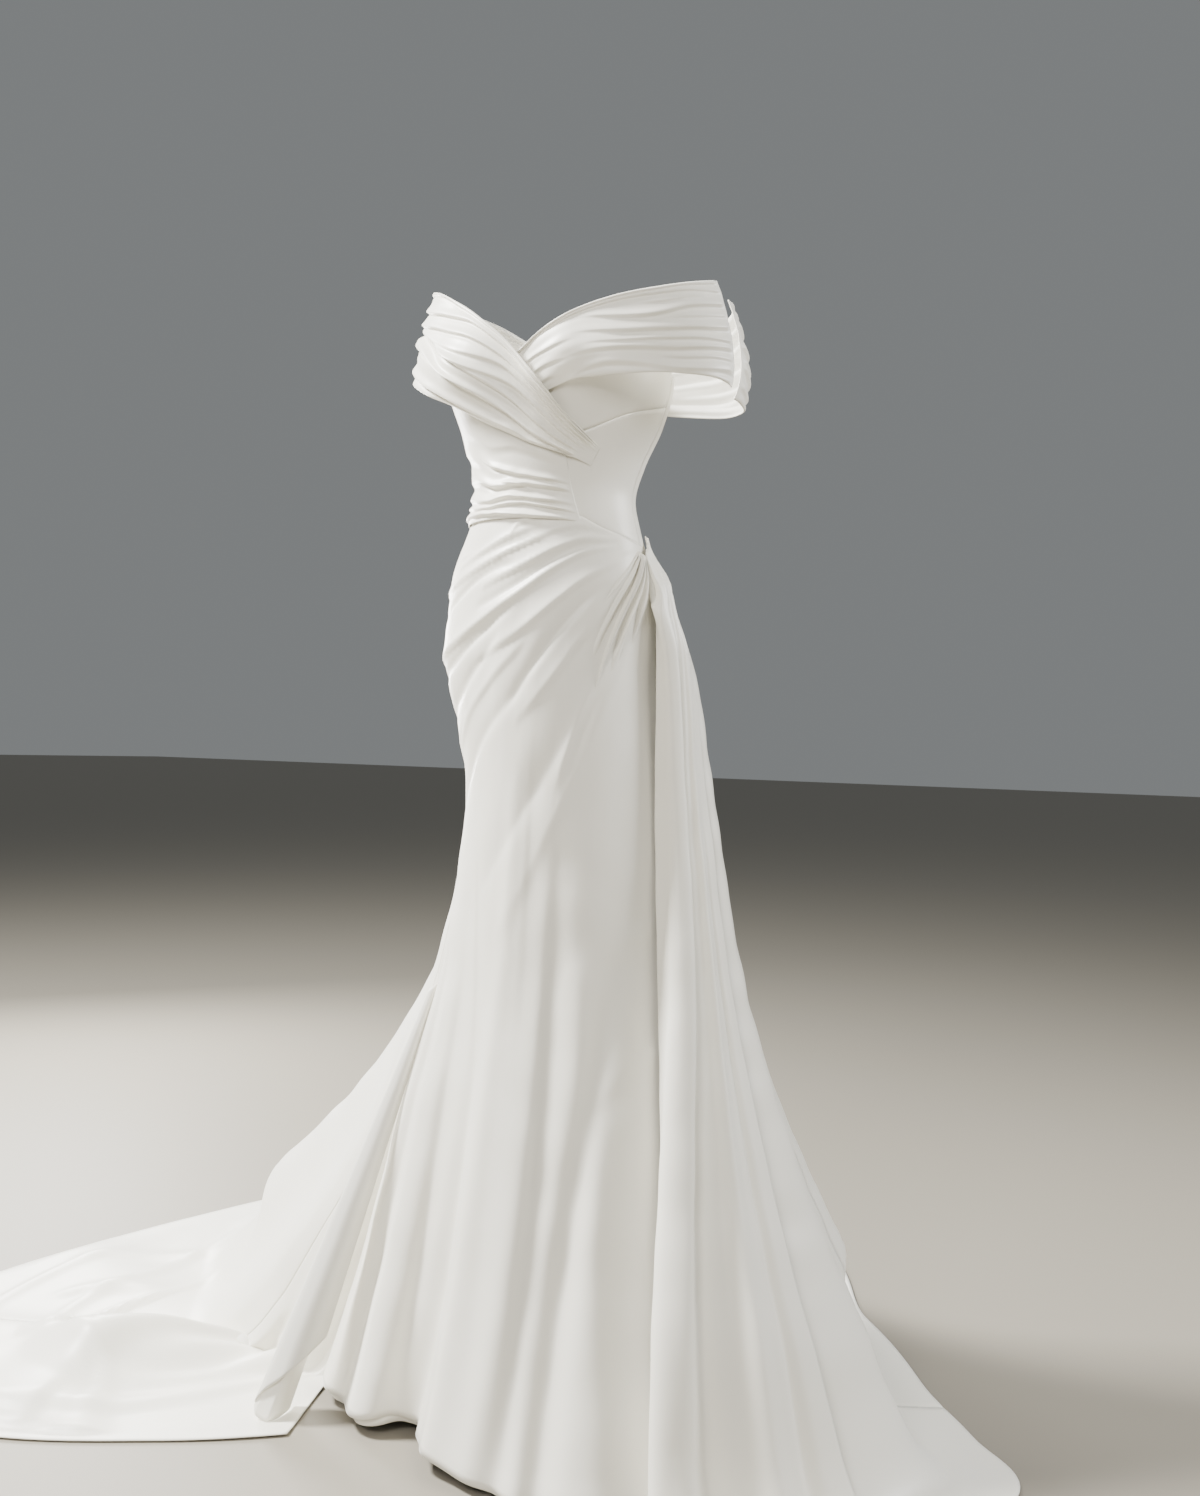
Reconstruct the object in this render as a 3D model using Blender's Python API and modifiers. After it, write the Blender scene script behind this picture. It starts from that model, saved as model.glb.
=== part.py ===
"""Off-the-shoulder wedding dress with a crossed pleated bodice, a draped hip and a long train.

Every piece of cloth is a thin wall on a surface worked out from the tables below. Heights are
above the floor. Angles are in degrees round the body, 0 at centre front and 90 at the wearer's
left. The origin is on the body's axis at the waist, where the wearer holds the dress up.
"""
import math

import bmesh
import bpy
import numpy as np

NAME = "wedding_dress"
WAIST_HEIGHT = 1.17
CLOTH = 0.002
SEAM_GAP = 0.0006
LOW_EDGE_GAP = 0.0009
WAIST_RADIUS = 0.11
TINY = 1e-9
LAYER = 0.0027
FLOOR_LIFT = CLOTH + 0.001
SATIN = (0.83, 0.82, 0.77, 1.0)
SATIN_ROUGHNESS = 0.5


def table(columns, *rows):
    """Named columns, with a row for each section, station or fold."""
    data = np.array(rows, float)
    return {name: data[:, i] for i, name in enumerate(columns.split())}


TORSO = table(
    "height half_width front back shift",
    (0.95, 0.147, 0.106, 0.134, 0.002),
    (1.02, 0.149, 0.104, 0.128, 0.002),
    (1.09, 0.134, 0.096, 0.108, 0.005),
    (1.14, 0.118, 0.089, 0.090, 0.007),
    (1.18, 0.109, 0.085, 0.081, 0.009),
    (1.22, 0.118, 0.088, 0.083, 0.012),
    (1.27, 0.139, 0.096, 0.092, 0.015),
    (1.32, 0.154, 0.106, 0.100, 0.013),
    (1.38, 0.158, 0.106, 0.104, 0.009),
    (1.46, 0.160, 0.098, 0.104, 0.006),
)
CUPS = table(
    "angle height spread rise out",
    (-36.0, 1.335, 24.0, 0.052, 0.026),
    (34.0, 1.335, 24.0, 0.052, 0.026),
)

CUP_SEAM = table(
    "angle height",
    (8.0, 1.218),
    (28.0, 1.238),
    (48.0, 1.252),
    (70.0, 1.274),
    (92.0, 1.290),
)
CUP_START = 8.0
LEFT_SIDE = 92.4
RIGHT_SIDE = -76.0

HEIGHTS = {"hip": 0.98, "thigh": 0.80, "knee": 0.58, "calf": 0.38, "shin": 0.18}
FRONT = table(
    "top_angle floor_angle top_height hip thigh knee calf shin hem hem_height",
    (-76.0, -66.0, 1.1496, 0.139, 0.104, 0.123, 0.168, 0.210, 0.245, 0.028),
    (-60.0, -54.0, 1.1496, 0.134, 0.102, 0.123, 0.172, 0.217, 0.262, 0.020),
    (-44.0, -36.0, 1.1496, 0.122, 0.102, 0.118, 0.160, 0.204, 0.240, 0.018),
    (-28.0, -23.0, 1.1496, 0.112, 0.102, 0.112, 0.140, 0.170, 0.200, 0.026),
    (-12.0, -5.0, 1.1496, 0.106, 0.104, 0.116, 0.146, 0.180, 0.212, 0.020),
    (6.0, 11.0, 1.1496, 0.106, 0.108, 0.124, 0.164, 0.208, 0.252, 0.014),
    (24.0, 28.0, 1.1496, 0.110, 0.114, 0.134, 0.182, 0.240, 0.300, 0.010),
    (44.0, 46.0, 1.1460, 0.118, 0.126, 0.150, 0.200, 0.254, 0.312, 0.008),
    (66.0, 64.0, 1.1280, 0.134, 0.144, 0.172, 0.226, 0.285, 0.350, 0.006),
    (104.6, 80.0, 1.1080, 0.150, 0.168, 0.200, 0.256, 0.330, 0.410, 0.006),
)
BACK = table(
    "top_angle floor_angle hem_angle top_height hip thigh knee calf shin touch hem",
    (105.0, 78.0, 78.0, 1.1080, 0.168, 0.198, 0.240, 0.300, 0.385, 0.480, 0.545),
    (111.0, 96.0, 97.0, 1.1150, 0.187, 0.223, 0.266, 0.334, 0.428, 0.550, 0.627),
    (119.0, 108.0, 108.0, 1.1290, 0.190, 0.226, 0.267, 0.326, 0.405, 0.500, 0.574),
    (132.0, 123.0, 123.0, 1.1430, 0.174, 0.206, 0.250, 0.314, 0.400, 0.490, 0.540),
    (148.0, 145.0, 145.0, 1.1496, 0.152, 0.180, 0.226, 0.298, 0.395, 0.490, 0.570),
    (164.0, 165.0, 165.0, 1.1496, 0.140, 0.162, 0.215, 0.298, 0.415, 0.560, 0.740),
    (180.0, 186.0, 186.0, 1.1496, 0.135, 0.155, 0.220, 0.330, 0.490, 0.720, 0.970),
    (196.0, 206.0, 206.0, 1.1496, 0.136, 0.154, 0.230, 0.360, 0.570, 0.840, 1.030),
    (212.0, 224.0, 224.0, 1.1496, 0.138, 0.152, 0.236, 0.385, 0.610, 0.860, 0.960),
    (228.0, 240.0, 240.0, 1.1496, 0.142, 0.148, 0.234, 0.382, 0.610, 0.850, 0.905),
    (240.0, 252.0, 252.0, 1.1496, 0.144, 0.142, 0.216, 0.342, 0.545, 0.790, 0.886),
    (252.0, 265.0, 265.0, 1.1496, 0.145, 0.134, 0.180, 0.268, 0.402, 0.620, 0.888),
    (262.0, 280.0, 280.0, 1.1496, 0.145, 0.122, 0.155, 0.225, 0.330, 0.500, 0.925),
    (270.0, 284.0, 292.0, 1.1496, 0.143, 0.111, 0.136, 0.194, 0.278, 0.385, 0.890),
    (276.0, 289.0, 308.5, 1.1496, 0.141, 0.107, 0.128, 0.175, 0.236, 0.320, 0.715),
    (281.0, 292.0, 316.5, 1.1496, 0.139, 0.104, 0.124, 0.170, 0.217, 0.285, 0.470),
    (283.4, 293.4, 322.0, 1.1496, 0.139, 0.104, 0.123, 0.168, 0.210, 0.262, 0.315),
)
OVERSKIRT = table(
    "top_angle floor_angle hem_angle top_height hip thigh knee calf shin touch hem",
    (90.0, 53.0, 53.0, 1.1060, 0.162, 0.180, 0.214, 0.256, 0.314, 0.362, 0.372),
    (93.0, 58.0, 58.0, 1.1110, 0.176, 0.200, 0.242, 0.288, 0.350, 0.395, 0.415),
    (96.5, 64.0, 64.0, 1.1170, 0.176, 0.196, 0.234, 0.284, 0.352, 0.420, 0.450),
    (100.0, 70.0, 70.0, 1.1230, 0.178, 0.200, 0.240, 0.296, 0.374, 0.450, 0.490),
    (103.5, 75.0, 75.0, 1.1290, 0.180, 0.205, 0.248, 0.310, 0.396, 0.480, 0.530),
    (107.0, 80.0, 80.0, 1.1330, 0.183, 0.211, 0.253, 0.317, 0.405, 0.504, 0.570),
)

FRONT_PLAN = (0.40, 1.16)
BACK_PLAN = (0.62, 1.90)
BACK_GORES = {
    "skirt_side_left": (0.00, 0.16, 7),
    "skirt_back_left": (0.16, 0.32, 7),
    "skirt_back_right": (0.32, 0.54, 9),
    "skirt_train_right": (0.54, 0.78, 10),
    "skirt_side_right": (0.78, 1.00, 9),
}
BACK_ROWS = 22
OVERSKIRT_PLAN = (0.16, 1.30)
OVERSKIRT_LIFT = 0.006
OVERSKIRT_PUFF = 0.016
PUFF_DOWN = 0.05
PUFF_ACROSS = 0.4
COUNTS = {
    "bodice_front": (14, 7),
    "side_panel_left": (12, 7),
    "cup_left": (12, 6),
    "bodice_back_left": (20, 7),
    "bodice_back_right": (12, 7),
    "wrap_right": (18, 20),
    "wrap_left": (12, 20),
    "sleeve_left": (8, 10),
    "sleeve_right": (8, 10),
    "waist_drape": (13, 16),
    "hip_fan": (15, 7),
    "train_fold": (20, 8),
}
FRONT_COUNTS = (35, 15, 0.38, 8)
OVERSKIRT_COUNTS = (15, 19)
UNDERSKIRT_COUNTS = (12, 4)
UNDERSKIRT_DOWN = (0.90, 1.0)
NECK_HEIGHTS = (1.36, 1.36, 1.318)
CUP_TOPS = (1.318, 1.34, 1.36)
BACK_TOPS = (1.33, 1.36)
FOLD_COLUMNS = "across_0 down_0 across_1 down_1 across_2 down_2 width deep_0 deep_2 lean"
FRONT_FOLDS = table(
    FOLD_COLUMNS,
    (0.92, 0.006, 0.475, 0.024, -0.05, 0.066, 0.014, -0.003, -0.005, 0.2),
    (0.93, 0.010, 0.475, 0.052, -0.05, 0.105, 0.015, 0.003, 0.006, 0.2),
    (0.93, 0.014, 0.480, 0.078, -0.05, 0.144, 0.014, -0.004, -0.008, 0.2),
    (0.94, 0.018, 0.480, 0.099, -0.05, 0.180, 0.015, 0.003, 0.007, 0.2),
    (0.94, 0.022, 0.540, 0.150, -0.04, 0.198, 0.014, -0.004, -0.009, 0.2),
    (0.94, 0.026, 0.560, 0.190, -0.03, 0.222, 0.016, 0.003, 0.007, 0.2),
    (0.94, 0.032, 0.590, 0.240, 0.05, 0.268, 0.016, -0.004, -0.009, 0.2),
    (0.94, 0.038, 0.620, 0.280, 0.10, 0.315, 0.018, 0.003, 0.006, 0.2),
    (0.94, 0.046, 0.680, 0.330, 0.20, 0.390, 0.018, -0.003, -0.006, 0.2),
    (0.175, 0.50, 0.172, 0.74, 0.156, 1.10, 0.015, -0.001, -0.022, 0.2),
    (0.46, 0.62, 0.43, 0.86, 0.34, 1.08, 0.016, -0.001, -0.024, -0.2),
    (0.75, 0.38, 0.71, 0.68, 0.60, 1.06, 0.016, -0.002, -0.024, 0.2),
    (0.88, 0.48, 0.72, 0.74, 0.68, 1.06, 0.013, -0.003, -0.026, -0.1),
    (0.29, 0.50, 0.29, 0.80, 0.26, 1.08, 0.017, 0.001, 0.016, 0.0),
    (0.54, 0.52, 0.52, 0.80, 0.47, 1.08, 0.017, 0.001, 0.018, 0.0),
    (0.80, 0.50, 0.79, 0.80, 0.76, 1.08, 0.014, 0.002, 0.012, 0.0),
)
BACK_FOLDS = table(
    FOLD_COLUMNS,
    (0.20, 0.20, 0.20, 0.45, 0.19, 0.80, 0.020, 0.002, 0.030, 0.0),
    (0.36, 0.18, 0.37, 0.45, 0.38, 0.78, 0.020, 0.003, 0.036, 0.0),
    (0.48, 0.18, 0.48, 0.45, 0.50, 0.76, 0.018, 0.003, 0.034, 0.0),
    (0.60, 0.20, 0.61, 0.45, 0.63, 0.76, 0.018, 0.002, 0.030, 0.0),
    (0.28, 0.20, 0.28, 0.48, 0.28, 0.80, 0.018, -0.003, -0.024, 0.0),
    (0.42, 0.18, 0.42, 0.48, 0.43, 0.80, 0.018, -0.003, -0.026, 0.0),
    (0.54, 0.18, 0.54, 0.48, 0.56, 0.80, 0.018, -0.003, -0.024, 0.0),
    (0.87, 0.30, 0.87, 0.55, 0.83, 0.86, 0.022, 0.002, 0.034, 0.0),
    (0.70, 0.98, 0.72, 0.86, 0.73, 0.72, 0.018, 0.014, 0.002, 0.0),
    (0.80, 0.98, 0.79, 0.86, 0.79, 0.74, 0.018, 0.014, 0.002, 0.0),
)
OVERSKIRT_FOLDS = table(
    FOLD_COLUMNS,
    (0.42, 0.05, 0.42, 0.45, 0.42, 1.10, 0.012, -0.002, -0.014, 0.0),
    (0.66, 0.05, 0.66, 0.45, 0.66, 1.10, 0.012, 0.002, 0.014, 0.0),
)

WRAP_COLUMNS = "low_angle top_angle low_height top_height low_out mid_out top_out"
WRAP_RIGHT = table(
    WRAP_COLUMNS,
    (-104.0, -104.0, 1.362, 1.460, 0.050, 0.036, 0.022),
    (-90.0, -90.0, 1.352, 1.466, 0.056, 0.038, 0.022),
    (-76.0, -76.0, 1.336, 1.460, 0.052, 0.040, 0.022),
    (-62.0, -62.0, 1.310, 1.448, 0.032, 0.034, 0.020),
    (-48.0, -46.0, 1.288, 1.426, 0.014, 0.020, 0.015),
    (-30.0, -26.0, 1.264, 1.398, 0.010, 0.012, 0.012),
    (-12.0, -6.0, 1.248, 1.362, 0.010, 0.011, 0.012),
    (6.0, 12.0, 1.234, 1.316, 0.010, 0.011, 0.013),
    (24.0, 28.0, 1.224, 1.272, 0.009, 0.009, 0.010),
    (40.0, 44.0, 1.216, 1.246, 0.006, 0.006, 0.006),
    (52.0, 56.0, 1.208, 1.230, 0.0027, 0.0027, 0.0027),
)
WRAP_LEFT = table(
    WRAP_COLUMNS,
    (10.0, -12.0, 1.278, 1.334, 0.0027, 0.0027, 0.0027),
    (18.0, 0.0, 1.292, 1.344, 0.004, 0.004, 0.004),
    (26.0, 14.0, 1.298, 1.362, 0.005, 0.006, 0.006),
    (38.0, 32.0, 1.304, 1.384, 0.010, 0.014, 0.016),
    (52.0, 50.0, 1.306, 1.402, 0.034, 0.036, 0.034),
    (66.0, 66.0, 1.308, 1.416, 0.066, 0.064, 0.052),
    (78.0, 78.0, 1.308, 1.428, 0.086, 0.082, 0.064),
    (88.0, 86.0, 1.304, 1.436, 0.092, 0.088, 0.070),
)
SLEEVE_LEFT = table(
    WRAP_COLUMNS,
    (89.0, 94.0, 1.290, 1.422, 0.097, 0.093, 0.073),
    (100.0, 103.0, 1.288, 1.420, 0.097, 0.093, 0.073),
    (114.0, 114.0, 1.292, 1.414, 0.086, 0.082, 0.064),
    (130.0, 130.0, 1.302, 1.406, 0.050, 0.050, 0.040),
    (144.0, 144.0, 1.310, 1.398, 0.016, 0.018, 0.016),
    (156.0, 156.0, 1.314, 1.384, 0.0025, 0.0025, 0.0025),
)
SLEEVE_RIGHT = table(
    WRAP_COLUMNS,
    (-156.0, -156.0, 1.314, 1.384, 0.0025, 0.0025, 0.0025),
    (-146.0, -146.0, 1.318, 1.400, 0.010, 0.009, 0.008),
    (-132.0, -132.0, 1.332, 1.426, 0.028, 0.022, 0.016),
    (-118.0, -118.0, 1.350, 1.448, 0.044, 0.034, 0.020),
    (-104.3, -104.3, 1.362, 1.460, 0.050, 0.036, 0.022),
)
WAIST = table(
    WRAP_COLUMNS,
    (-92.0, -92.0, 1.1510, 1.330, 0.0046, 0.0046, 0.0046),
    (-60.0, -60.0, 1.1510, 1.322, 0.0046, 0.0046, 0.0046),
    (-30.0, -30.0, 1.1510, 1.276, 0.0046, 0.0046, 0.0046),
    (-10.0, -10.0, 1.1510, 1.256, 0.0046, 0.0046, 0.0046),
    (12.0, 10.0, 1.1510, 1.240, 0.0046, 0.0046, 0.0046),
    (46.0, 34.0, 1.1510, 1.224, 0.0046, 0.0046, 0.0046),
)

PLEAT_COLUMNS = "crest width height fade_in fade_out lean"
WRAP_RIGHT_PLEATS = table(
    PLEAT_COLUMNS,
    (0.06, 0.055, 0.006, 0.00, 0.10, 0.4),
    (0.22, 0.060, 0.006, 0.00, 0.10, 0.4),
    (0.38, 0.060, 0.006, 0.00, 0.10, 0.4),
    (0.55, 0.060, 0.006, 0.00, 0.10, 0.4),
    (0.72, 0.060, 0.006, 0.00, 0.10, 0.4),
    (0.88, 0.060, 0.006, 0.00, 0.10, 0.4),
)
WRAP_LEFT_PLEATS = table(
    PLEAT_COLUMNS,
    (0.05, 0.045, 0.003, 0.25, 0.00, -0.3),
    (0.20, 0.050, 0.005, 0.25, 0.00, -0.3),
    (0.35, 0.050, 0.005, 0.25, 0.00, -0.3),
    (0.50, 0.050, 0.005, 0.25, 0.00, -0.3),
    (0.65, 0.050, 0.005, 0.25, 0.00, -0.3),
    (0.80, 0.050, 0.005, 0.25, 0.00, -0.3),
    (0.95, 0.045, 0.004, 0.25, 0.00, -0.3),
)
SLEEVE_PLEATS = table(
    PLEAT_COLUMNS,
    (0.15, 0.070, 0.004, 0.00, 0.30, 0.0),
    (0.38, 0.070, 0.004, 0.00, 0.30, 0.0),
    (0.62, 0.070, 0.004, 0.00, 0.30, 0.0),
    (0.85, 0.070, 0.004, 0.00, 0.30, 0.0),
)
WAIST_PLEATS = table(
    PLEAT_COLUMNS,
    (0.06, 0.050, 0.005, 0.06, 0.12, 0.2),
    (0.20, 0.055, 0.005, 0.06, 0.12, 0.2),
    (0.34, 0.055, 0.005, 0.06, 0.12, 0.2),
    (0.49, 0.055, 0.004, 0.20, 0.12, 0.2),
    (0.66, 0.050, 0.003, 0.30, 0.20, 0.2),
    (0.84, 0.040, 0.002, 0.30, 0.30, 0.2),
)
HIP_FAN = table(
    "across_end down_end",
    (0.850, 0.085),
    (0.825, 0.150),
    (0.835, 0.205),
    (0.900, 0.160),
    (0.948, 0.115),
)
HIP_POINT = (0.955, 0.006)
FAN_PLEATS = 5
UNDERSKIRT_INSET = 0.009
UNDERSKIRT_DROP = 0.010
UNDERSKIRT_SPAN = (0.10, 0.42)
TRAIN_FOLD = table(
    "x y height",
    (-0.192, -0.176, 0.094),
    (-0.199, -0.203, 0.079),
    (-0.222, -0.226, 0.052),
    (-0.244, -0.233, 0.034),
    (-0.254, -0.236, 0.018),
    (-0.249, -0.240, 0.006),
    (-0.233, -0.239, 0.0011),
    (-0.226, -0.222, 0.0013),
    (-0.227, -0.203, 0.0024),
    (-0.233, -0.188, 0.0060),
)
FOLD_TOP = (-0.124, -0.058, 0.530)
FOLD_TOP_SIZE = 0.12


def smooth(knots, values, at):
    """Cubic through the rows of a table that never swings past them."""
    knots = np.asarray(knots, float)
    values = np.asarray(values, float)
    at = np.asarray(at, float)
    extra = (1,) * (values.ndim - 1)
    slope = np.diff(values, axis=0) / np.diff(knots).reshape((-1,) + extra)
    before, after = slope[:-1], slope[1:]
    same = before * after > 0
    middle = np.where(same, 2 * before * after / np.where(same, before + after, 1), 0)
    tangent = np.concatenate([slope[:1], middle, slope[-1:]])
    i = np.clip(np.searchsorted(knots, at) - 1, 0, len(knots) - 2)
    span = knots[i + 1] - knots[i]
    part = np.clip((at - knots[i]) / span, 0, 1).reshape(at.shape + extra)
    span = span.reshape(at.shape + extra)
    start = values[i] * (1 + 2 * part) * (1 - part) ** 2
    end = values[i + 1] * part ** 2 * (3 - 2 * part)
    leave = tangent[i] * span * part * (1 - part) ** 2
    reach = tangent[i + 1] * span * part ** 2 * (part - 1)
    return start + end + leave + reach


def ease(x):
    """Smooth step from 0 to 1."""
    x = np.clip(x, 0, 1)
    return x * x * (3 - 2 * x)


def direction(angle):
    """Level unit vector for an angle round the body."""
    turn = np.radians(angle)
    return np.sin(turn), -np.cos(turn)


def torso_radius(angle, height):
    """Distance of the fitted bodice from the body's axis."""
    across, ahead = direction(angle)
    half = smooth(TORSO["height"], TORSO["half_width"], height)
    front = smooth(TORSO["height"], TORSO["front"], height)
    back = smooth(TORSO["height"], TORSO["back"], height)
    deep = np.where(ahead < 0, front, back)
    radius = 1 / np.sqrt((across / half) ** 2 + (ahead / deep) ** 2)
    for at, level, spread, rise, out in zip(*CUPS.values()):
        swing = (angle - at) / spread
        lift = (height - level) / rise
        radius = radius + out * np.exp(-swing ** 2 - lift ** 2)
    return radius


def on_body(angle, height, radius):
    """Point at a distance from the body's axis, which leans a little with height."""
    across, ahead = direction(angle)
    shift = smooth(TORSO["height"], TORSO["shift"], height)
    return np.stack([shift + radius * across, radius * ahead, height - WAIST_HEIGHT], -1)


def follow(nodes, part):
    """Points at a part of the way along smooth lines through nodes, one line for each point."""
    steps = np.linalg.norm(np.diff(nodes, axis=-2), axis=-1)
    run = np.concatenate([np.zeros_like(steps[..., :1]), np.cumsum(steps, -1)], -1)
    slope = np.diff(nodes, axis=-2) / steps[..., None]
    before, after = slope[..., :-1, :], slope[..., 1:, :]
    same = before * after > 0
    middle = np.where(same, 2 * before * after / np.where(same, before + after, 1), 0)
    tangent = np.concatenate([slope[..., :1, :], middle, slope[..., -1:, :]], -2)
    at = part * run[..., -1]
    i = np.clip(np.sum(run < at[..., None], -1) - 1, 0, steps.shape[-1] - 1)[..., None]
    start = np.take_along_axis(run, i, -1)
    span = np.take_along_axis(steps, i, -1)
    t = np.clip((at[..., None] - start) / span, 0, 1)
    i = i[..., None]
    first = np.take_along_axis(nodes, i, -2)[..., 0, :]
    last = np.take_along_axis(nodes, i + 1, -2)[..., 0, :]
    leave = np.take_along_axis(tangent, i, -2)[..., 0, :]
    reach = np.take_along_axis(tangent, i + 1, -2)[..., 0, :]
    near = first * (1 + 2 * t) * (1 - t) ** 2 + leave * span * t * (1 - t) ** 2
    return near + last * t ** 2 * (3 - 2 * t) + reach * span * t ** 2 * (t - 1)


def skirt_points(falls, across, down, out=0.0):
    """Points of a skirt panel, on fall lines that leave the body and follow the table."""
    rows = len(falls["hem"]) - 1
    stations = np.arange(rows + 1)
    here = {key: smooth(stations, column, across * rows) for key, column in falls.items()}
    top = here["top_height"]
    heights = [top, (top + HEIGHTS["hip"]) / 2]
    radii = [torso_radius(here["top_angle"], height) for height in heights]
    for key, height in HEIGHTS.items():
        heights.append(np.full_like(top, height))
        radii.append(here[key])
    if "touch" in here:
        lying = FLOOR_LIFT + (LAYER if out > 0 else 0)
        heights.append(np.full_like(top, lying))
        radii.append(here["touch"])
        heights.append(np.full_like(top, lying))
    else:
        heights.append(here["hem_height"])
    radii.append(here["hem"])
    nodes = []
    for height, radius in zip(heights, radii):
        swing = ease((HEIGHTS["hip"] - height) / HEIGHTS["hip"])
        angle = here["top_angle"] * (1 - swing) + here["floor_angle"] * swing
        nodes.append(on_body(angle, height, radius + out))
    if "hem_angle" in here:
        nodes[-1] = on_body(here["hem_angle"], heights[-1], radii[-1] + out)
    return follow(np.stack(nodes, -2), down)


def fold_field(across, down, folds, plan):
    """Height of all folds at each place of a panel, over the panel's own flat plan."""
    total = np.zeros(across.shape)
    along = np.linspace(0, 1, 25)
    blend = np.stack([(1 - along) ** 2, 2 * along * (1 - along), along ** 2])
    for a0, d0, a1, d1, a2, d2, width, deep_0, deep_2, lean in zip(*folds.values()):
        path_a = np.array([a0, a1, a2]) @ blend * plan[0]
        path_d = np.array([d0, d1, d2]) @ blend * plan[1]
        gap_a = across[..., None] * plan[0] - path_a
        gap_d = down[..., None] * plan[1] - path_d
        nearest = np.argmin(gap_a ** 2 + gap_d ** 2, axis=-1)
        away_a = np.take_along_axis(gap_a, nearest[..., None], -1)[..., 0]
        away_d = np.take_along_axis(gap_d, nearest[..., None], -1)[..., 0]
        turn_a = np.gradient(path_a)[nearest]
        turn_d = np.gradient(path_d)[nearest]
        length = np.hypot(turn_a, turn_d)
        side = (away_a * turn_d - away_d * turn_a) / length
        past = (away_a * turn_a + away_d * turn_d) / length
        beyond = np.where((nearest == 0) | (nearest == len(along) - 1), past, 0)
        spread = width * (1 + lean * np.sign(side))
        shape = np.exp(-(side / spread) ** 2 - (beyond / (2 * width)) ** 2)
        place = along[nearest]
        total += (deep_0 + (deep_2 - deep_0) * place) * shape
    return total


def push_out(grid, amount):
    """Moves a grid of points along its own normals."""
    along = np.gradient(grid, axis=0)
    up = np.gradient(grid, axis=1)
    normal = np.cross(up, along)
    normal /= np.linalg.norm(normal, axis=-1, keepdims=True) + TINY
    return grid + normal * amount[..., None]


def keep_off_floor(grid):
    """Raises what would sink below the floor."""
    grid[..., 2] = np.maximum(grid[..., 2], FLOOR_LIFT - WAIST_HEIGHT)
    return grid


def rows_down(upper, split, lower):
    """Places down a panel, close together above the split."""
    return np.concatenate([np.linspace(0, split, upper + 1)[:-1], np.linspace(split, 1, lower + 1)])


def panel_grid(falls, folds, plan, across, down, out=0.0, puff=0.0):
    """Skirt panel at the given places across and down its table, with its folds."""
    across, down = np.meshgrid(across, down, indexing="ij")
    grid = skirt_points(falls, across, down, out)
    return keep_off_floor(push_out(grid, fold_field(across, down, folds, plan) + puff))


def seam_off(grid):
    """Draws a panel's first column in by a seam's width."""
    edge = grid.copy()
    inward = grid[1] - grid[0]
    edge[0] += SEAM_GAP * inward / np.linalg.norm(inward, axis=-1, keepdims=True)
    return edge


def overskirt_puff(across, down):
    """How far the gathers puff the overskirt out below its top edge, at the side."""
    gathers = np.exp(-((down[None, :] - PUFF_DOWN) / PUFF_DOWN) ** 2)
    gathers *= ease(down[None, :] / PUFF_DOWN)
    return OVERSKIRT_PUFF * ease(across[:, None] / PUFF_ACROSS) * gathers


def fan_grid(columns, rows):
    """Raised pleats that fan out over the front panel from the left hip point."""
    turn = np.linspace(0, 1, columns + 1)
    run = np.linspace(0.02, 1, rows + 1)
    turn, run = np.meshgrid(turn, run, indexing="ij")
    stations = np.linspace(0, 1, len(HIP_FAN["down_end"]))
    end_across = smooth(stations, HIP_FAN["across_end"], turn)
    end_down = smooth(stations, HIP_FAN["down_end"], turn)
    across = HIP_POINT[0] + (end_across - HIP_POINT[0]) * run
    down = HIP_POINT[1] + (end_down - HIP_POINT[1]) * run
    pleat = np.sin(np.pi * FAN_PLEATS * turn) ** 2
    raised = LAYER + 0.009 * pleat * ease(run / 0.15) * ease((1 - run) / 0.5)
    return push_out(skirt_points(FRONT, across, down), raised)


def train_fold_grid(columns, rows):
    """The near corner of the train, which stands up in one flute from its curled hem."""
    stations = np.linspace(0, 1, len(TRAIN_FOLD["x"]))
    turn, run = np.meshgrid(np.linspace(0, 1, columns + 1), np.linspace(0, 1, rows + 1),
                            indexing="ij")
    here = {key: smooth(stations, column, turn) for key, column in TRAIN_FOLD.items()}
    hem = np.stack([here["x"], here["y"], here["height"] + FLOOR_LIFT - WAIST_HEIGHT], -1)
    top = np.array(FOLD_TOP) - (0, 0, WAIST_HEIGHT)
    top = top + FOLD_TOP_SIZE * (hem - hem.mean(axis=(0, 1)))
    return keep_off_floor(hem * (1 - run[..., None]) + top * run[..., None])


def underskirt_grid(across, down):
    """Strip of the under layer that hangs just inside the front hem and shows below it."""
    across, down = np.meshgrid(across, down, indexing="ij")
    grid = skirt_points(FRONT, across, down, -UNDERSKIRT_INSET)
    grid[..., 2] -= UNDERSKIRT_DROP
    folds = fold_field(across, down, FRONT_FOLDS, FRONT_PLAN)
    return keep_off_floor(push_out(grid, folds))


def pleat_field(along, up, pleats):
    """Height of the pleats that run the length of a wrap."""
    total = np.zeros_like(along)
    for crest, width, height, fade_in, fade_out, lean in zip(*pleats.values()):
        side = (up - crest) / width
        shape = np.exp(-(side / (1 + lean * np.sign(side))) ** 2)
        fade = ease(along / max(fade_in, TINY)) * ease((1 - along) / max(fade_out, TINY))
        total += height * shape * fade
    return total


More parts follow.
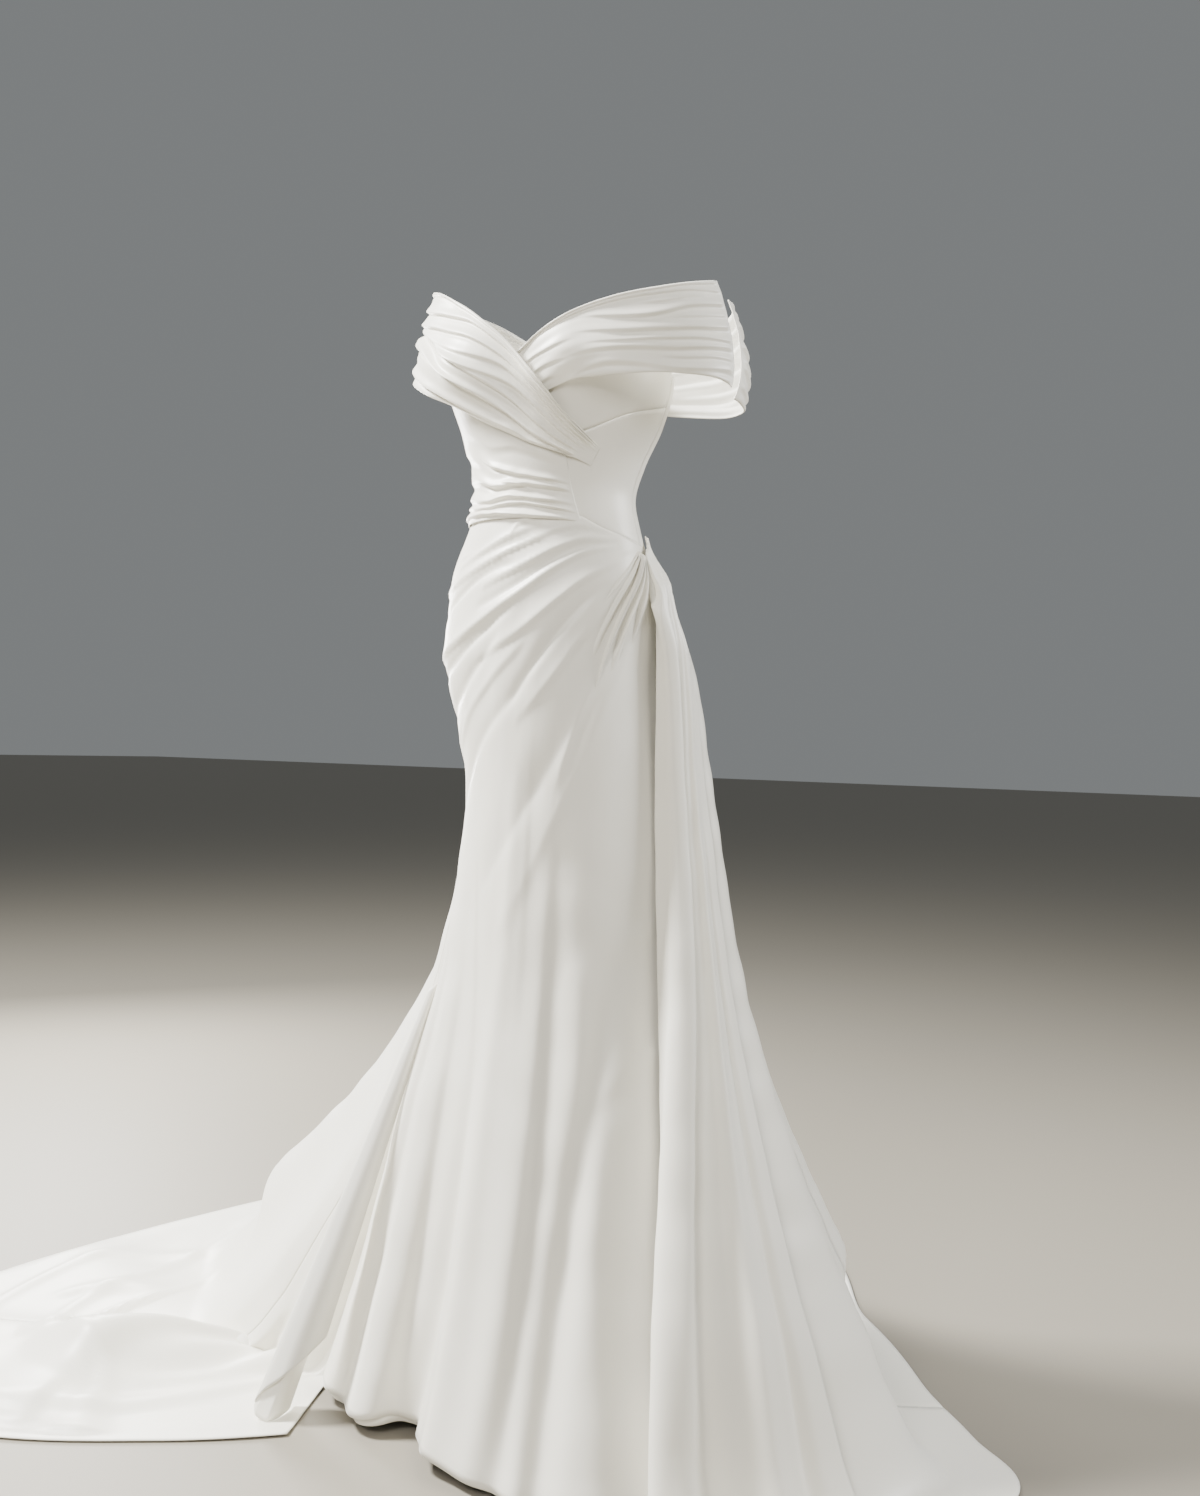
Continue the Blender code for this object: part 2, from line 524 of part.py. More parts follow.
def wrap_grid(wrap, pleats, columns, rows):
    """Band of cloth round the body between its low and top edges, with its pleats."""
    along = np.linspace(0, 1, columns + 1)
    up = np.linspace(0, 1, rows + 1)
    along, up = np.meshgrid(along, up, indexing="ij")
    stations = np.linspace(0, 1, len(wrap["low_angle"]))
    here = {key: smooth(stations, column, along) for key, column in wrap.items()}
    angle = here["low_angle"] * (1 - up) + here["top_angle"] * up
    height = here["low_height"] * (1 - up) + here["top_height"] * up
    low = here["low_out"] * (1 - up) * (1 - 2 * up)
    middle = here["mid_out"] * 4 * up * (1 - up)
    top = here["top_out"] * up * (2 * up - 1)
    out = low + middle + top + pleat_field(along, up, pleats)
    return on_body(angle, height, torso_radius(angle, height) + out)


def skirt_top(falls, angle):
    """Height of a skirt panel's top edge at an angle round the body."""
    rows = len(falls["hem"]) - 1
    at = np.linspace(0, rows, 400)
    angles = smooth(np.arange(rows + 1), falls["top_angle"], at)
    heights = smooth(np.arange(rows + 1), falls["top_height"], at)
    return np.interp(angle, angles, heights)


def above_skirt(angle):
    """Height of the bodice's low edge, a seam's width above the skirt's top edge."""
    front = skirt_top(FRONT, angle)
    back = skirt_top(BACK, angle)
    return np.where(angle < FRONT["top_angle"][-1], front, back) + LOW_EDGE_GAP


def cup_seam(angle):
    """Height of the seam under the left cup."""
    return smooth(CUP_SEAM["angle"], CUP_SEAM["height"], angle)


def bodice_grid(start, end, bottom, tops, columns, rows):
    """Smooth fitted panel between two angles, its low edge a function and its top at even steps."""
    along = np.linspace(0, 1, columns + 1)
    angle = start + (end - start) * along
    low = bottom(angle)
    top = smooth(np.linspace(0, 1, len(tops)), tops, along)
    up = np.linspace(0, 1, rows + 1)
    height = low[:, None] * (1 - up) + top[:, None] * up
    angle = np.repeat(angle[:, None], rows + 1, 1)
    return on_body(angle, height, torso_radius(angle, height))


def satin(name):
    """Plain satin for one piece."""
    material = bpy.data.materials.new(name)
    material.use_nodes = True
    shader = material.node_tree.nodes["Principled BSDF"]
    shader.inputs["Base Color"].default_value = SATIN
    shader.inputs["Roughness"].default_value = SATIN_ROUGHNESS
    shader.inputs["Metallic"].default_value = 0.0
    return material


def cloth(name, grid, collection, upwards=True):
    """A grid of points as one wall of cloth, its outer side on the points."""
    columns, rows = grid.shape[0] - 1, grid.shape[1] - 1
    mesh = bpy.data.meshes.new(name)
    shape = bmesh.new()
    bmesh.ops.create_grid(shape, x_segments=columns, y_segments=rows, size=1.0)
    for vertex in shape.verts:
        i = round((vertex.co.x + 1) / 2 * columns)
        j = round((vertex.co.y + 1) / 2 * rows)
        vertex.co = grid[i, j if upwards else rows - j]
    shape.to_mesh(mesh)
    shape.free()
    mesh.shade_smooth()
    piece = bpy.data.objects.new(name, mesh)
    piece.data.materials.append(satin(name))
    wall = piece.modifiers.new("wall", "SOLIDIFY")
    wall.thickness = CLOTH
    wall.offset = -1
    collection.objects.link(piece)
    return piece


def build():
    """Makes every piece of the dress."""
    for old in list(bpy.data.objects):
        bpy.data.objects.remove(old, do_unlink=True)
    dress = bpy.data.collections.new(NAME)
    bpy.context.scene.collection.children.link(dress)

    seam = math.degrees(SEAM_GAP / WAIST_RADIUS)
    cup_tops = cup_seam(np.linspace(CUP_START, LEFT_SIDE, 13)) - SEAM_GAP
    bodices = {
        "bodice_front": (RIGHT_SIDE, CUP_START, above_skirt, NECK_HEIGHTS),
        "side_panel_left": (CUP_START + seam, LEFT_SIDE, above_skirt, cup_tops),
        "cup_left": (CUP_START + seam, LEFT_SIDE, cup_seam, CUP_TOPS),
        "bodice_back_left": (LEFT_SIDE + seam, 180 - seam, above_skirt, BACK_TOPS),
        "bodice_back_right": (180 + seam, 360 + RIGHT_SIDE - seam, above_skirt, NECK_HEIGHTS[:2]),
    }
    for name, edges in bodices.items():
        cloth(name, bodice_grid(*edges, *COUNTS[name]), dress)

    wraps = {
        "wrap_right": (WRAP_RIGHT, WRAP_RIGHT_PLEATS),
        "wrap_left": (WRAP_LEFT, WRAP_LEFT_PLEATS),
        "sleeve_left": (SLEEVE_LEFT, SLEEVE_PLEATS),
        "sleeve_right": (SLEEVE_RIGHT, SLEEVE_PLEATS),
        "waist_drape": (WAIST, WAIST_PLEATS),
    }
    for name, tables in wraps.items():
        cloth(name, wrap_grid(*tables, *COUNTS[name]), dress)

    columns, *rows = FRONT_COUNTS
    cloth("skirt_front",
          panel_grid(FRONT, FRONT_FOLDS, FRONT_PLAN, np.linspace(0, 1, columns),
                     rows_down(*rows)), dress, upwards=False)
    cloth("hip_fan", fan_grid(*COUNTS["hip_fan"]), dress, upwards=False)
    across = [0.0]
    for start, end, columns in BACK_GORES.values():
        across.extend(np.linspace(start, end, columns + 1)[1:])
    back = panel_grid(BACK, BACK_FOLDS, BACK_PLAN, np.array(across),
                      np.linspace(0, 1, BACK_ROWS + 1))
    first = 0
    for name, (start, end, columns) in BACK_GORES.items():
        gore = back[first:first + columns + 1]
        cloth(name, seam_off(gore) if first else gore, dress, upwards=False)
        first += columns
    across, down = (np.linspace(0, 1, count) for count in OVERSKIRT_COUNTS)
    cloth("overskirt_left",
          panel_grid(OVERSKIRT, OVERSKIRT_FOLDS, OVERSKIRT_PLAN, across, down,
                     OVERSKIRT_LIFT, overskirt_puff(across, down)), dress, upwards=False)
    cloth("train_fold", train_fold_grid(*COUNTS["train_fold"]), dress)
    columns, rows = UNDERSKIRT_COUNTS
    cloth("underskirt_hem",
          underskirt_grid(np.linspace(*UNDERSKIRT_SPAN, columns),
                          np.linspace(*UNDERSKIRT_DOWN, rows)), dress, upwards=False)


build()
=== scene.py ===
"""Wedding dress in ivory satin: crossed pleated bodice, draped hip, flared skirt and long train.

The cloth surfaces are worked out from the same tables as the dress's solids, with finer folds.
Heights are above the floor. Angles are in degrees round the body, 0 at centre front and 90 at
the wearer's left. The origin is on the body's axis at the waist.
"""
import math

import bmesh
import bpy
import numpy as np
from mathutils import Matrix, Vector


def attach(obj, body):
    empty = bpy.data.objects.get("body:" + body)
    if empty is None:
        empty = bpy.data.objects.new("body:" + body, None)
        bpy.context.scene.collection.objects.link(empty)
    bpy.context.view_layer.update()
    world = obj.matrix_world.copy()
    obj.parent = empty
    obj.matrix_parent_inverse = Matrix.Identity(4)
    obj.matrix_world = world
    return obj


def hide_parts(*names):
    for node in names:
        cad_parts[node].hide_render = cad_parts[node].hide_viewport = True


bl_info = {
    "name": "Satin wedding dress",
    "version": (1, 0, 0),
    "blender": (4, 5, 0),
    "location": "View3D > Sidebar > Dress",
    "description": "Makes the satin cloth, lining and stage of an off-the-shoulder wedding dress",
    "category": "Add Mesh",
}

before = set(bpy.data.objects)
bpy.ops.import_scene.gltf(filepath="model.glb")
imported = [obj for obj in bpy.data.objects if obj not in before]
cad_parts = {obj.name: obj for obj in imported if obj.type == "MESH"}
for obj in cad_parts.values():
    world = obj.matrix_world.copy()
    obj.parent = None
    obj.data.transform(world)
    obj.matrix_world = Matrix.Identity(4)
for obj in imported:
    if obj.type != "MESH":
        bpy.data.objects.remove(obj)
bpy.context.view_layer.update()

WAIST_HEIGHT = 1.17
# Cloth on the floor stands this far above it, and a second layer lies this much higher.
FLOOR_LIFT = 0.003
LAYER = 0.0027


def table(columns, *rows):
    """Named columns, with a row for each section, station or fold."""
    data = np.array(rows, float)
    return {name: data[:, i] for i, name in enumerate(columns.split())}


# The fitted bodice: its half width, its depths to the front and back, and its shift to the left.
TORSO = table(
    "height half_width front back shift",
    (0.95, 0.147, 0.106, 0.134, 0.002),
    (1.02, 0.149, 0.104, 0.128, 0.002),
    (1.09, 0.134, 0.096, 0.108, 0.005),
    (1.14, 0.118, 0.089, 0.090, 0.007),
    (1.18, 0.109, 0.085, 0.081, 0.009),
    (1.22, 0.118, 0.088, 0.083, 0.012),
    (1.27, 0.139, 0.096, 0.092, 0.015),
    (1.32, 0.154, 0.106, 0.100, 0.013),
    (1.38, 0.158, 0.106, 0.104, 0.009),
    (1.46, 0.160, 0.098, 0.104, 0.006),
)
CUPS = table(
    "angle height spread rise out",
    (-36.0, 1.335, 24.0, 0.052, 0.026),
    (34.0, 1.335, 24.0, 0.052, 0.026),
)
# The seam under the left cup.
CUP_SEAM = table(
    "angle height",
    (8.0, 1.218),
    (28.0, 1.238),
    (48.0, 1.252),
    (70.0, 1.274),
    (92.0, 1.290),
)
# Panels start and end at these angles, with a small gap at each seam, and have so many faces.
SEAM = 0.3
CUP_START = 8.0
LEFT_SIDE = 92.4
RIGHT_SIDE = -76.0
BODICE_PANELS = {
    "bodice_front": (RIGHT_SIDE, CUP_START, 48, 40),
    "side_panel_left": (CUP_START + SEAM, LEFT_SIDE, 44, 30),
    "cup_left": (CUP_START + SEAM, LEFT_SIDE, 44, 24),
    "bodice_back_left": (LEFT_SIDE + SEAM, 180 - SEAM, 48, 40),
    "bodice_back_right": (180 + SEAM, 360 + RIGHT_SIDE - SEAM, 48, 40),
}
BODICE_TOPS = {
    "bodice_front": (1.36, 1.36, 1.318),
    "cup_left": (1.318, 1.34, 1.36),
    "bodice_back_left": (1.33, 1.36),
    "bodice_back_right": (1.36, 1.36),
}
CUP_GAP = 0.0004
TUCK = 0.004
LOW_EDGE_IN = 0.0015
BODICE_RIPPLE = 0.0005
METRES_A_DEGREE = 0.002
RIPPLE_SIZE = 0.09
RIPPLE_WAVES = 9
RIPPLE_PACES = (0.6, 1.7)

# Each row of a skirt panel is a fall line: its angles, and its distance out at each height.
HEIGHTS = {"hip": 0.98, "thigh": 0.80, "knee": 0.58, "calf": 0.38, "shin": 0.18}
FRONT = table(
    "top_angle floor_angle top_height hip thigh knee calf shin hem hem_height",
    (-76.0, -66.0, 1.1496, 0.139, 0.104, 0.123, 0.168, 0.210, 0.245, 0.028),
    (-60.0, -54.0, 1.1496, 0.134, 0.102, 0.123, 0.172, 0.217, 0.262, 0.020),
    (-44.0, -36.0, 1.1496, 0.122, 0.102, 0.118, 0.160, 0.204, 0.240, 0.018),
    (-28.0, -23.0, 1.1496, 0.112, 0.102, 0.112, 0.140, 0.170, 0.200, 0.026),
    (-12.0, -5.0, 1.1496, 0.106, 0.104, 0.116, 0.146, 0.180, 0.212, 0.020),
    (6.0, 11.0, 1.1496, 0.106, 0.108, 0.124, 0.164, 0.208, 0.252, 0.014),
    (24.0, 28.0, 1.1496, 0.110, 0.114, 0.134, 0.182, 0.240, 0.300, 0.010),
    (44.0, 46.0, 1.1460, 0.118, 0.126, 0.150, 0.200, 0.254, 0.312, 0.008),
    (66.0, 64.0, 1.1280, 0.134, 0.144, 0.172, 0.226, 0.285, 0.350, 0.006),
    (104.6, 80.0, 1.1080, 0.150, 0.168, 0.200, 0.256, 0.330, 0.410, 0.006),
)
BACK = table(
    "top_angle floor_angle hem_angle top_height hip thigh knee calf shin touch hem",
    (105.0, 78.0, 78.0, 1.1080, 0.168, 0.198, 0.240, 0.300, 0.385, 0.480, 0.545),
    (111.0, 96.0, 97.0, 1.1150, 0.187, 0.223, 0.266, 0.334, 0.428, 0.550, 0.627),
    (119.0, 108.0, 108.0, 1.1290, 0.190, 0.226, 0.267, 0.326, 0.405, 0.500, 0.574),
    (132.0, 123.0, 123.0, 1.1430, 0.174, 0.206, 0.250, 0.314, 0.400, 0.490, 0.540),
    (148.0, 145.0, 145.0, 1.1496, 0.152, 0.180, 0.226, 0.298, 0.395, 0.490, 0.570),
    (164.0, 165.0, 165.0, 1.1496, 0.140, 0.162, 0.215, 0.298, 0.415, 0.560, 0.740),
    (180.0, 186.0, 186.0, 1.1496, 0.135, 0.155, 0.220, 0.330, 0.490, 0.720, 0.970),
    (196.0, 206.0, 206.0, 1.1496, 0.136, 0.154, 0.230, 0.360, 0.570, 0.840, 1.030),
    (212.0, 224.0, 224.0, 1.1496, 0.138, 0.152, 0.236, 0.385, 0.610, 0.860, 0.960),
    (228.0, 240.0, 240.0, 1.1496, 0.142, 0.148, 0.234, 0.382, 0.610, 0.850, 0.905),
    (240.0, 252.0, 252.0, 1.1496, 0.144, 0.142, 0.216, 0.342, 0.545, 0.790, 0.886),
    (252.0, 265.0, 265.0, 1.1496, 0.145, 0.134, 0.180, 0.268, 0.402, 0.620, 0.888),
    (262.0, 280.0, 280.0, 1.1496, 0.145, 0.122, 0.155, 0.225, 0.330, 0.500, 0.925),
    (270.0, 284.0, 292.0, 1.1496, 0.143, 0.111, 0.136, 0.194, 0.278, 0.385, 0.890),
    (276.0, 289.0, 308.5, 1.1496, 0.141, 0.107, 0.128, 0.175, 0.236, 0.320, 0.715),
    (281.0, 292.0, 316.5, 1.1496, 0.139, 0.104, 0.124, 0.170, 0.217, 0.285, 0.470),
    (283.4, 293.4, 322.0, 1.1496, 0.139, 0.104, 0.123, 0.168, 0.210, 0.262, 0.315),
)
OVERSKIRT = table(
    "top_angle floor_angle hem_angle top_height hip thigh knee calf shin touch hem",
    (91.6, 55.5, 55.5, 1.1060, 0.150, 0.158, 0.188, 0.238, 0.296, 0.344, 0.352),
    (90.0, 53.0, 53.0, 1.1060, 0.162, 0.180, 0.214, 0.256, 0.314, 0.362, 0.372),
    (93.0, 58.0, 58.0, 1.1110, 0.176, 0.200, 0.242, 0.288, 0.350, 0.395, 0.415),
    (96.5, 64.0, 64.0, 1.1170, 0.176, 0.196, 0.234, 0.284, 0.352, 0.420, 0.450),
    (100.0, 70.0, 70.0, 1.1230, 0.178, 0.200, 0.240, 0.296, 0.374, 0.450, 0.490),
    (103.5, 75.0, 75.0, 1.1290, 0.180, 0.205, 0.248, 0.310, 0.396, 0.480, 0.530),
    (107.0, 80.0, 80.0, 1.1330, 0.183, 0.211, 0.253, 0.317, 0.405, 0.504, 0.570),
)
FRONT_PLAN = (0.40, 1.16)
BACK_PLAN = (0.62, 1.90)
OVERSKIRT_PLAN = (0.16, 1.30)
# Each gore's share across the back, and its faces across.
BACK_GORES = {
    "skirt_side_left": (0.00, 0.16, 34),
    "skirt_back_left": (0.16, 0.32, 38),
    "skirt_back_right": (0.32, 0.54, 50),
    "skirt_train_right": (0.54, 0.78, 74),
    "skirt_side_right": (0.78, 1.00, 112),
}
BACK_ROWS = 220
FRONT_COUNTS = (190, 190)
OVERSKIRT_COUNTS = (80, 200)
HIP_CROWDING = 0.55
WRINKLE_SIZE = 0.11
TRAIN_WRINKLE = 1.6
SEAM_DIP = 0.0006
SEAM_WIDTH = 0.0018
HEM_RISE = 0.0007
HEM_DEPTH = 0.022
OVERSKIRT_LIFT = 0.006
OVERSKIRT_PUFF = 0.016
PUFF_DOWN = 0.05
PUFF_FRONT = 0.4
PUFF_REAR = 0.25
GATHERS = 5.5
GATHER_CROWDING = 0.9
GATHER_HEIGHT = 0.0022
GATHER_DOWN = 0.2

# Each fold bends through three places, in shares of its panel. Widths and heights are in metres.
CRISP = 1.45
SOFT = 2.0
PATH_STEPS = 41
FOLD_COLUMNS = ("across_0 down_0 across_1 down_1 across_2 down_2 "
                "width_0 width_2 deep_0 deep_1 deep_2 lean")
HIP_FOLDS = table(
    FOLD_COLUMNS,
    (0.492, 0.019, 0.512, 0.006, 0.716, 0.001, 0.0030, 0.0045, 0.0010, 0.0036, 0.0010, 0.4),
    (0.100, 0.064, 0.484, 0.023, 0.634, 0.014, 0.0030, 0.0060, 0.0010, 0.0042, 0.0010, 0.5),
    (0.268, 0.052, 0.439, 0.039, 0.790, 0.017, 0.0030, 0.0050, -0.0010, -0.0030, 0.0000, 0.2),
    (0.020, 0.090, 0.465, 0.045, 0.898, 0.000, 0.0050, 0.0050, 0.0024, 0.0046, 0.0010, 0.6),
    (0.050, 0.118, 0.316, 0.063, 0.538, 0.057, 0.0050, 0.0040, -0.0030, -0.0056, 0.0000, 0.2),
    (0.368, 0.082, 0.736, 0.044, 0.936, 0.000, 0.0050, 0.0050, 0.0016, 0.0056, 0.0010, 0.6),
    (0.360, 0.104, 0.581, 0.083, 0.894, 0.015, 0.0060, 0.0040, -0.0018, -0.0046, -0.0010, 0.2),
    (0.030, 0.168, 0.617, 0.099, 0.958, 0.000, 0.0070, 0.0040, 0.0030, 0.0060, 0.0010, 0.6),
    (0.050, 0.190, 0.360, 0.143, 0.542, 0.103, 0.0070, 0.0060, -0.0030, -0.0064, 0.0000, 0.2),
    (0.384, 0.161, 0.740, 0.119, 0.960, 0.005, 0.0080, 0.0040, 0.0020, 0.0056, 0.0010, 0.6),
    (0.562, 0.200, 0.760, 0.120, 0.886, 0.058, 0.0080, 0.0050, -0.0020, -0.0070, 0.0000, 0.3),
    (0.600, 0.220, 0.797, 0.162, 0.910, 0.055, 0.0090, 0.0050, 0.0010, 0.0050, 0.0000, 0.5),
    (0.040, 0.240, 0.372, 0.178, 0.488, 0.131, 0.0100, 0.0080, -0.0030, -0.0060, 0.0000, 0.2),
    (0.160, 0.262, 0.564, 0.155, 0.606, 0.138, 0.0080, 0.0080, 0.0010, 0.0040, 0.0000, 0.5),
    (0.120, 0.335, 0.515, 0.211, 0.646, 0.182, 0.0100, 0.0090, -0.0020, -0.0040, 0.0000, 0.2),
    (0.730, 0.301, 0.779, 0.226, 0.905, 0.130, 0.0100, 0.0040, 0.0004, 0.0062, 0.0006, 0.3),
    (0.770, 0.290, 0.826, 0.216, 0.920, 0.130, 0.0080, 0.0040, -0.0002, -0.0040, -0.0004, 0.0),
    (0.384, 0.058, 0.418, 0.048, 0.516, 0.052, 0.0030, 0.0030, 0.0000, 0.0026, 0.0000, 0.3),
    (0.566, 0.035, 0.644, 0.027, 0.722, 0.029, 0.0030, 0.0030, 0.0000, 0.0024, 0.0000, 0.3),
    (0.832, 0.127, 0.808, 0.142, 0.752, 0.162, 0.0040, 0.0040, 0.0000, -0.0024, 0.0000, 0.3),
    (0.056, 0.051, 0.157, 0.046, 0.254, 0.043, 0.0030, 0.0040, 0.0000, 0.0026, 0.0000, 0.3),
    (0.460, 0.400, 0.860, 0.220, 0.940, 0.090, 0.0160, 0.0060, -0.0014, -0.0042, -0.0010, 0.2),
    (0.560, 0.440, 0.840, 0.270, 0.920, 0.130, 0.0180, 0.0060, 0.0010, 0.0030, 0.0010, 0.4),
    (0.020, 0.290, 0.120, 0.262, 0.240, 0.225, 0.0090, 0.0060, 0.0010, 0.0030, 0.0000, 0.4),
)
SKIRT_FOLDS = table(
    FOLD_COLUMNS,
    (0.175, 0.50, 0.172, 0.74, 0.156, 1.10, 0.010, 0.015, -0.001, -0.010, -0.022, 0.2),
    (0.46, 0.62, 0.43, 0.86, 0.34, 1.08, 0.010, 0.016, -0.001, -0.012, -0.024, -0.2),
    (0.75, 0.38, 0.71, 0.68, 0.60, 1.06, 0.012, 0.014, -0.002, -0.012, -0.024, 0.2),
    (0.88, 0.48, 0.72, 0.74, 0.68, 1.06, 0.011, 0.012, -0.003, -0.014, -0.026, -0.1),
    (0.29, 0.50, 0.29, 0.80, 0.26, 1.08, 0.016, 0.017, 0.001, 0.008, 0.016, 0.0),
    (0.54, 0.52, 0.52, 0.80, 0.47, 1.08, 0.016, 0.017, 0.001, 0.009, 0.018, 0.0),
    (0.80, 0.50, 0.79, 0.80, 0.76, 1.08, 0.013, 0.014, 0.002, 0.006, 0.012, 0.0),
    (0.37, 0.36, 0.45, 0.55, 0.50, 0.72, 0.010, 0.014, 0.000, -0.003, 0.000, 0.4),
    (0.58, 0.26, 0.57, 0.44, 0.55, 0.62, 0.012, 0.016, 0.000, 0.004, 0.000, 0.0),
    (0.66, 0.24, 0.665, 0.42, 0.64, 0.60, 0.010, 0.014, 0.000, -0.003, 0.000, 0.3),
    (0.93, 0.43, 0.88, 0.46, 0.84, 0.50, 0.006, 0.010, 0.002, -0.003, 0.000, 0.3),
    (0.93, 0.56, 0.87, 0.60, 0.82, 0.64, 0.006, 0.012, 0.002, -0.004, 0.000, 0.3),
    (0.08, 0.45, 0.07, 0.75, 0.06, 1.06, 0.010, 0.012, 0.000, 0.004, 0.008, 0.0),
)
BACK_FOLDS = table(
    FOLD_COLUMNS,
    (0.20, 0.20, 0.20, 0.45, 0.19, 0.80, 0.018, 0.020, 0.002, 0.014, 0.030, 0.0),
    (0.36, 0.18, 0.37, 0.45, 0.38, 0.78, 0.018, 0.020, 0.003, 0.016, 0.036, 0.0),
    (0.48, 0.18, 0.48, 0.45, 0.50, 0.76, 0.016, 0.018, 0.003, 0.015, 0.034, 0.0),
    (0.60, 0.20, 0.61, 0.45, 0.63, 0.76, 0.016, 0.018, 0.002, 0.014, 0.030, 0.0),
    (0.28, 0.20, 0.28, 0.48, 0.28, 0.80, 0.016, 0.018, -0.003, -0.012, -0.024, 0.0),
    (0.42, 0.18, 0.42, 0.48, 0.43, 0.80, 0.016, 0.018, -0.003, -0.013, -0.026, 0.0),
    (0.54, 0.18, 0.54, 0.48, 0.56, 0.80, 0.016, 0.018, -0.003, -0.012, -0.024, 0.0),
    (0.87, 0.30, 0.87, 0.55, 0.83, 0.86, 0.020, 0.022, 0.002, 0.016, 0.034, 0.0),
    (0.70, 0.98, 0.72, 0.86, 0.73, 0.72, 0.016, 0.018, 0.014, 0.009, 0.002, 0.0),
    (0.80, 0.98, 0.79, 0.86, 0.79, 0.74, 0.016, 0.018, 0.014, 0.009, 0.002, 0.0),
    (0.66, 0.97, 0.76, 0.93, 0.86, 0.955, 0.010, 0.012, 0.002, 0.010, 0.003, 0.3),
    (0.64, 0.90, 0.74, 0.87, 0.83, 0.89, 0.010, 0.014, 0.002, 0.008, 0.002, 0.3),
    (0.58, 0.94, 0.60, 0.86, 0.62, 0.78, 0.012, 0.014, 0.010, 0.008, 0.002, 0.0),
    (0.86, 0.96, 0.90, 0.90, 0.92, 0.82, 0.010, 0.014, 0.006, 0.008, 0.002, 0.0),
    (0.12, 0.10, 0.12, 0.45, 0.12, 0.90, 0.010, 0.014, -0.001, -0.006, -0.010, 0.0),
    (0.24, 0.04, 0.25, 0.14, 0.25, 0.28, 0.008, 0.014, 0.000, 0.003, 0.002, 0.0),
    (0.40, 0.04, 0.41, 0.14, 0.42, 0.28, 0.008, 0.014, 0.000, 0.003, 0.002, 0.0),
    (0.790, 0.66, 0.800, 0.79, 0.880, 0.97, 0.011, 0.010, 0.010, 0.046, 0.012, -0.4),
    (0.820, 0.68, 0.875, 0.79, 0.850, 0.87, 0.007, 0.008, -0.008, -0.022, -0.004, 0.0),
    (0.846, 0.86, 0.875, 0.891, 0.908, 0.98, 0.0026, 0.0034, 0.002, 0.013, 0.006, 0.2),
    (0.850, 0.875, 0.877, 0.917, 0.900, 0.98, 0.0024, 0.0030, 0.002, 0.012, 0.006, 0.2),
    (0.856, 0.895, 0.868, 0.922, 0.888, 0.97, 0.0024, 0.0028, 0.001, 0.010, 0.004, 0.2),
    (0.800, 0.900, 0.770, 0.835, 0.700, 0.830, 0.004, 0.007, 0.004, 0.016, 0.004, 0.3),
    (0.735, 0.910, 0.715, 0.880, 0.714, 0.845, 0.004, 0.006, 0.003, 0.012, 0.003, 0.3),
    (0.700, 0.960, 0.660, 0.900, 0.640, 0.860, 0.006, 0.008, 0.003, 0.006, 0.002, 0.3),
    (0.480, 0.960, 0.470, 0.880, 0.500, 0.800, 0.008, 0.012, 0.004, 0.008, 0.002, 0.3),
    (0.380, 0.960, 0.400, 0.880, 0.420, 0.780, 0.008, 0.012, 0.004, 0.008, 0.002, 0.3),
)
OVERSKIRT_FOLDS = table(
    FOLD_COLUMNS,
    (0.42, 0.05, 0.42, 0.45, 0.42, 1.10, 0.009, 0.012, -0.002, -0.014, -0.022, 0.0),
    (0.66, 0.05, 0.66, 0.45, 0.66, 1.10, 0.009, 0.012, 0.002, 0.010, 0.016, 0.0),
    (0.22, 0.12, 0.22, 0.50, 0.20, 1.06, 0.009, 0.013, 0.001, 0.008, 0.012, 0.0),
    (0.82, 0.30, 0.82, 0.55, 0.80, 1.04, 0.004, 0.006, -0.001, -0.006, -0.010, 0.3),
    (0.20, 0.02, 0.20, 0.12, 0.20, 0.30, 0.004, 0.008, 0.001, 0.003, 0.000, 0.0),
    (0.52, 0.02, 0.53, 0.12, 0.54, 0.30, 0.004, 0.008, 0.001, 0.003, 0.000, 0.0),
    (0.82, 0.02, 0.82, 0.12, 0.82, 0.30, 0.004, 0.008, 0.001, 0.003, 0.000, 0.0),
    (0.30, 0.90, 0.34, 0.95, 0.36, 1.02, 0.008, 0.014, 0.000, 0.008, 0.018, 0.0),
)

# Bands run between a low and a top edge, each so far out from the body.
WRAP_COLUMNS = "low_angle top_angle low_height top_height low_out mid_out top_out"
WRAP_RIGHT = table(
    WRAP_COLUMNS,
    (-104.0, -104.0, 1.362, 1.460, 0.050, 0.036, 0.022),
    (-90.0, -90.0, 1.352, 1.466, 0.056, 0.038, 0.022),
    (-76.0, -76.0, 1.336, 1.460, 0.052, 0.040, 0.022),
    (-62.0, -62.0, 1.310, 1.448, 0.032, 0.034, 0.020),
    (-48.0, -46.0, 1.288, 1.426, 0.014, 0.020, 0.015),
    (-30.0, -26.0, 1.264, 1.398, 0.010, 0.012, 0.012),
    (-12.0, -6.0, 1.248, 1.362, 0.010, 0.011, 0.012),
    (6.0, 12.0, 1.234, 1.316, 0.010, 0.011, 0.013),
    (24.0, 28.0, 1.224, 1.272, 0.009, 0.009, 0.010),
    (40.0, 44.0, 1.216, 1.246, 0.0045, 0.005, 0.0045),
    (52.0, 56.0, 1.208, 1.230, 0.0008, 0.0008, 0.0008),
)
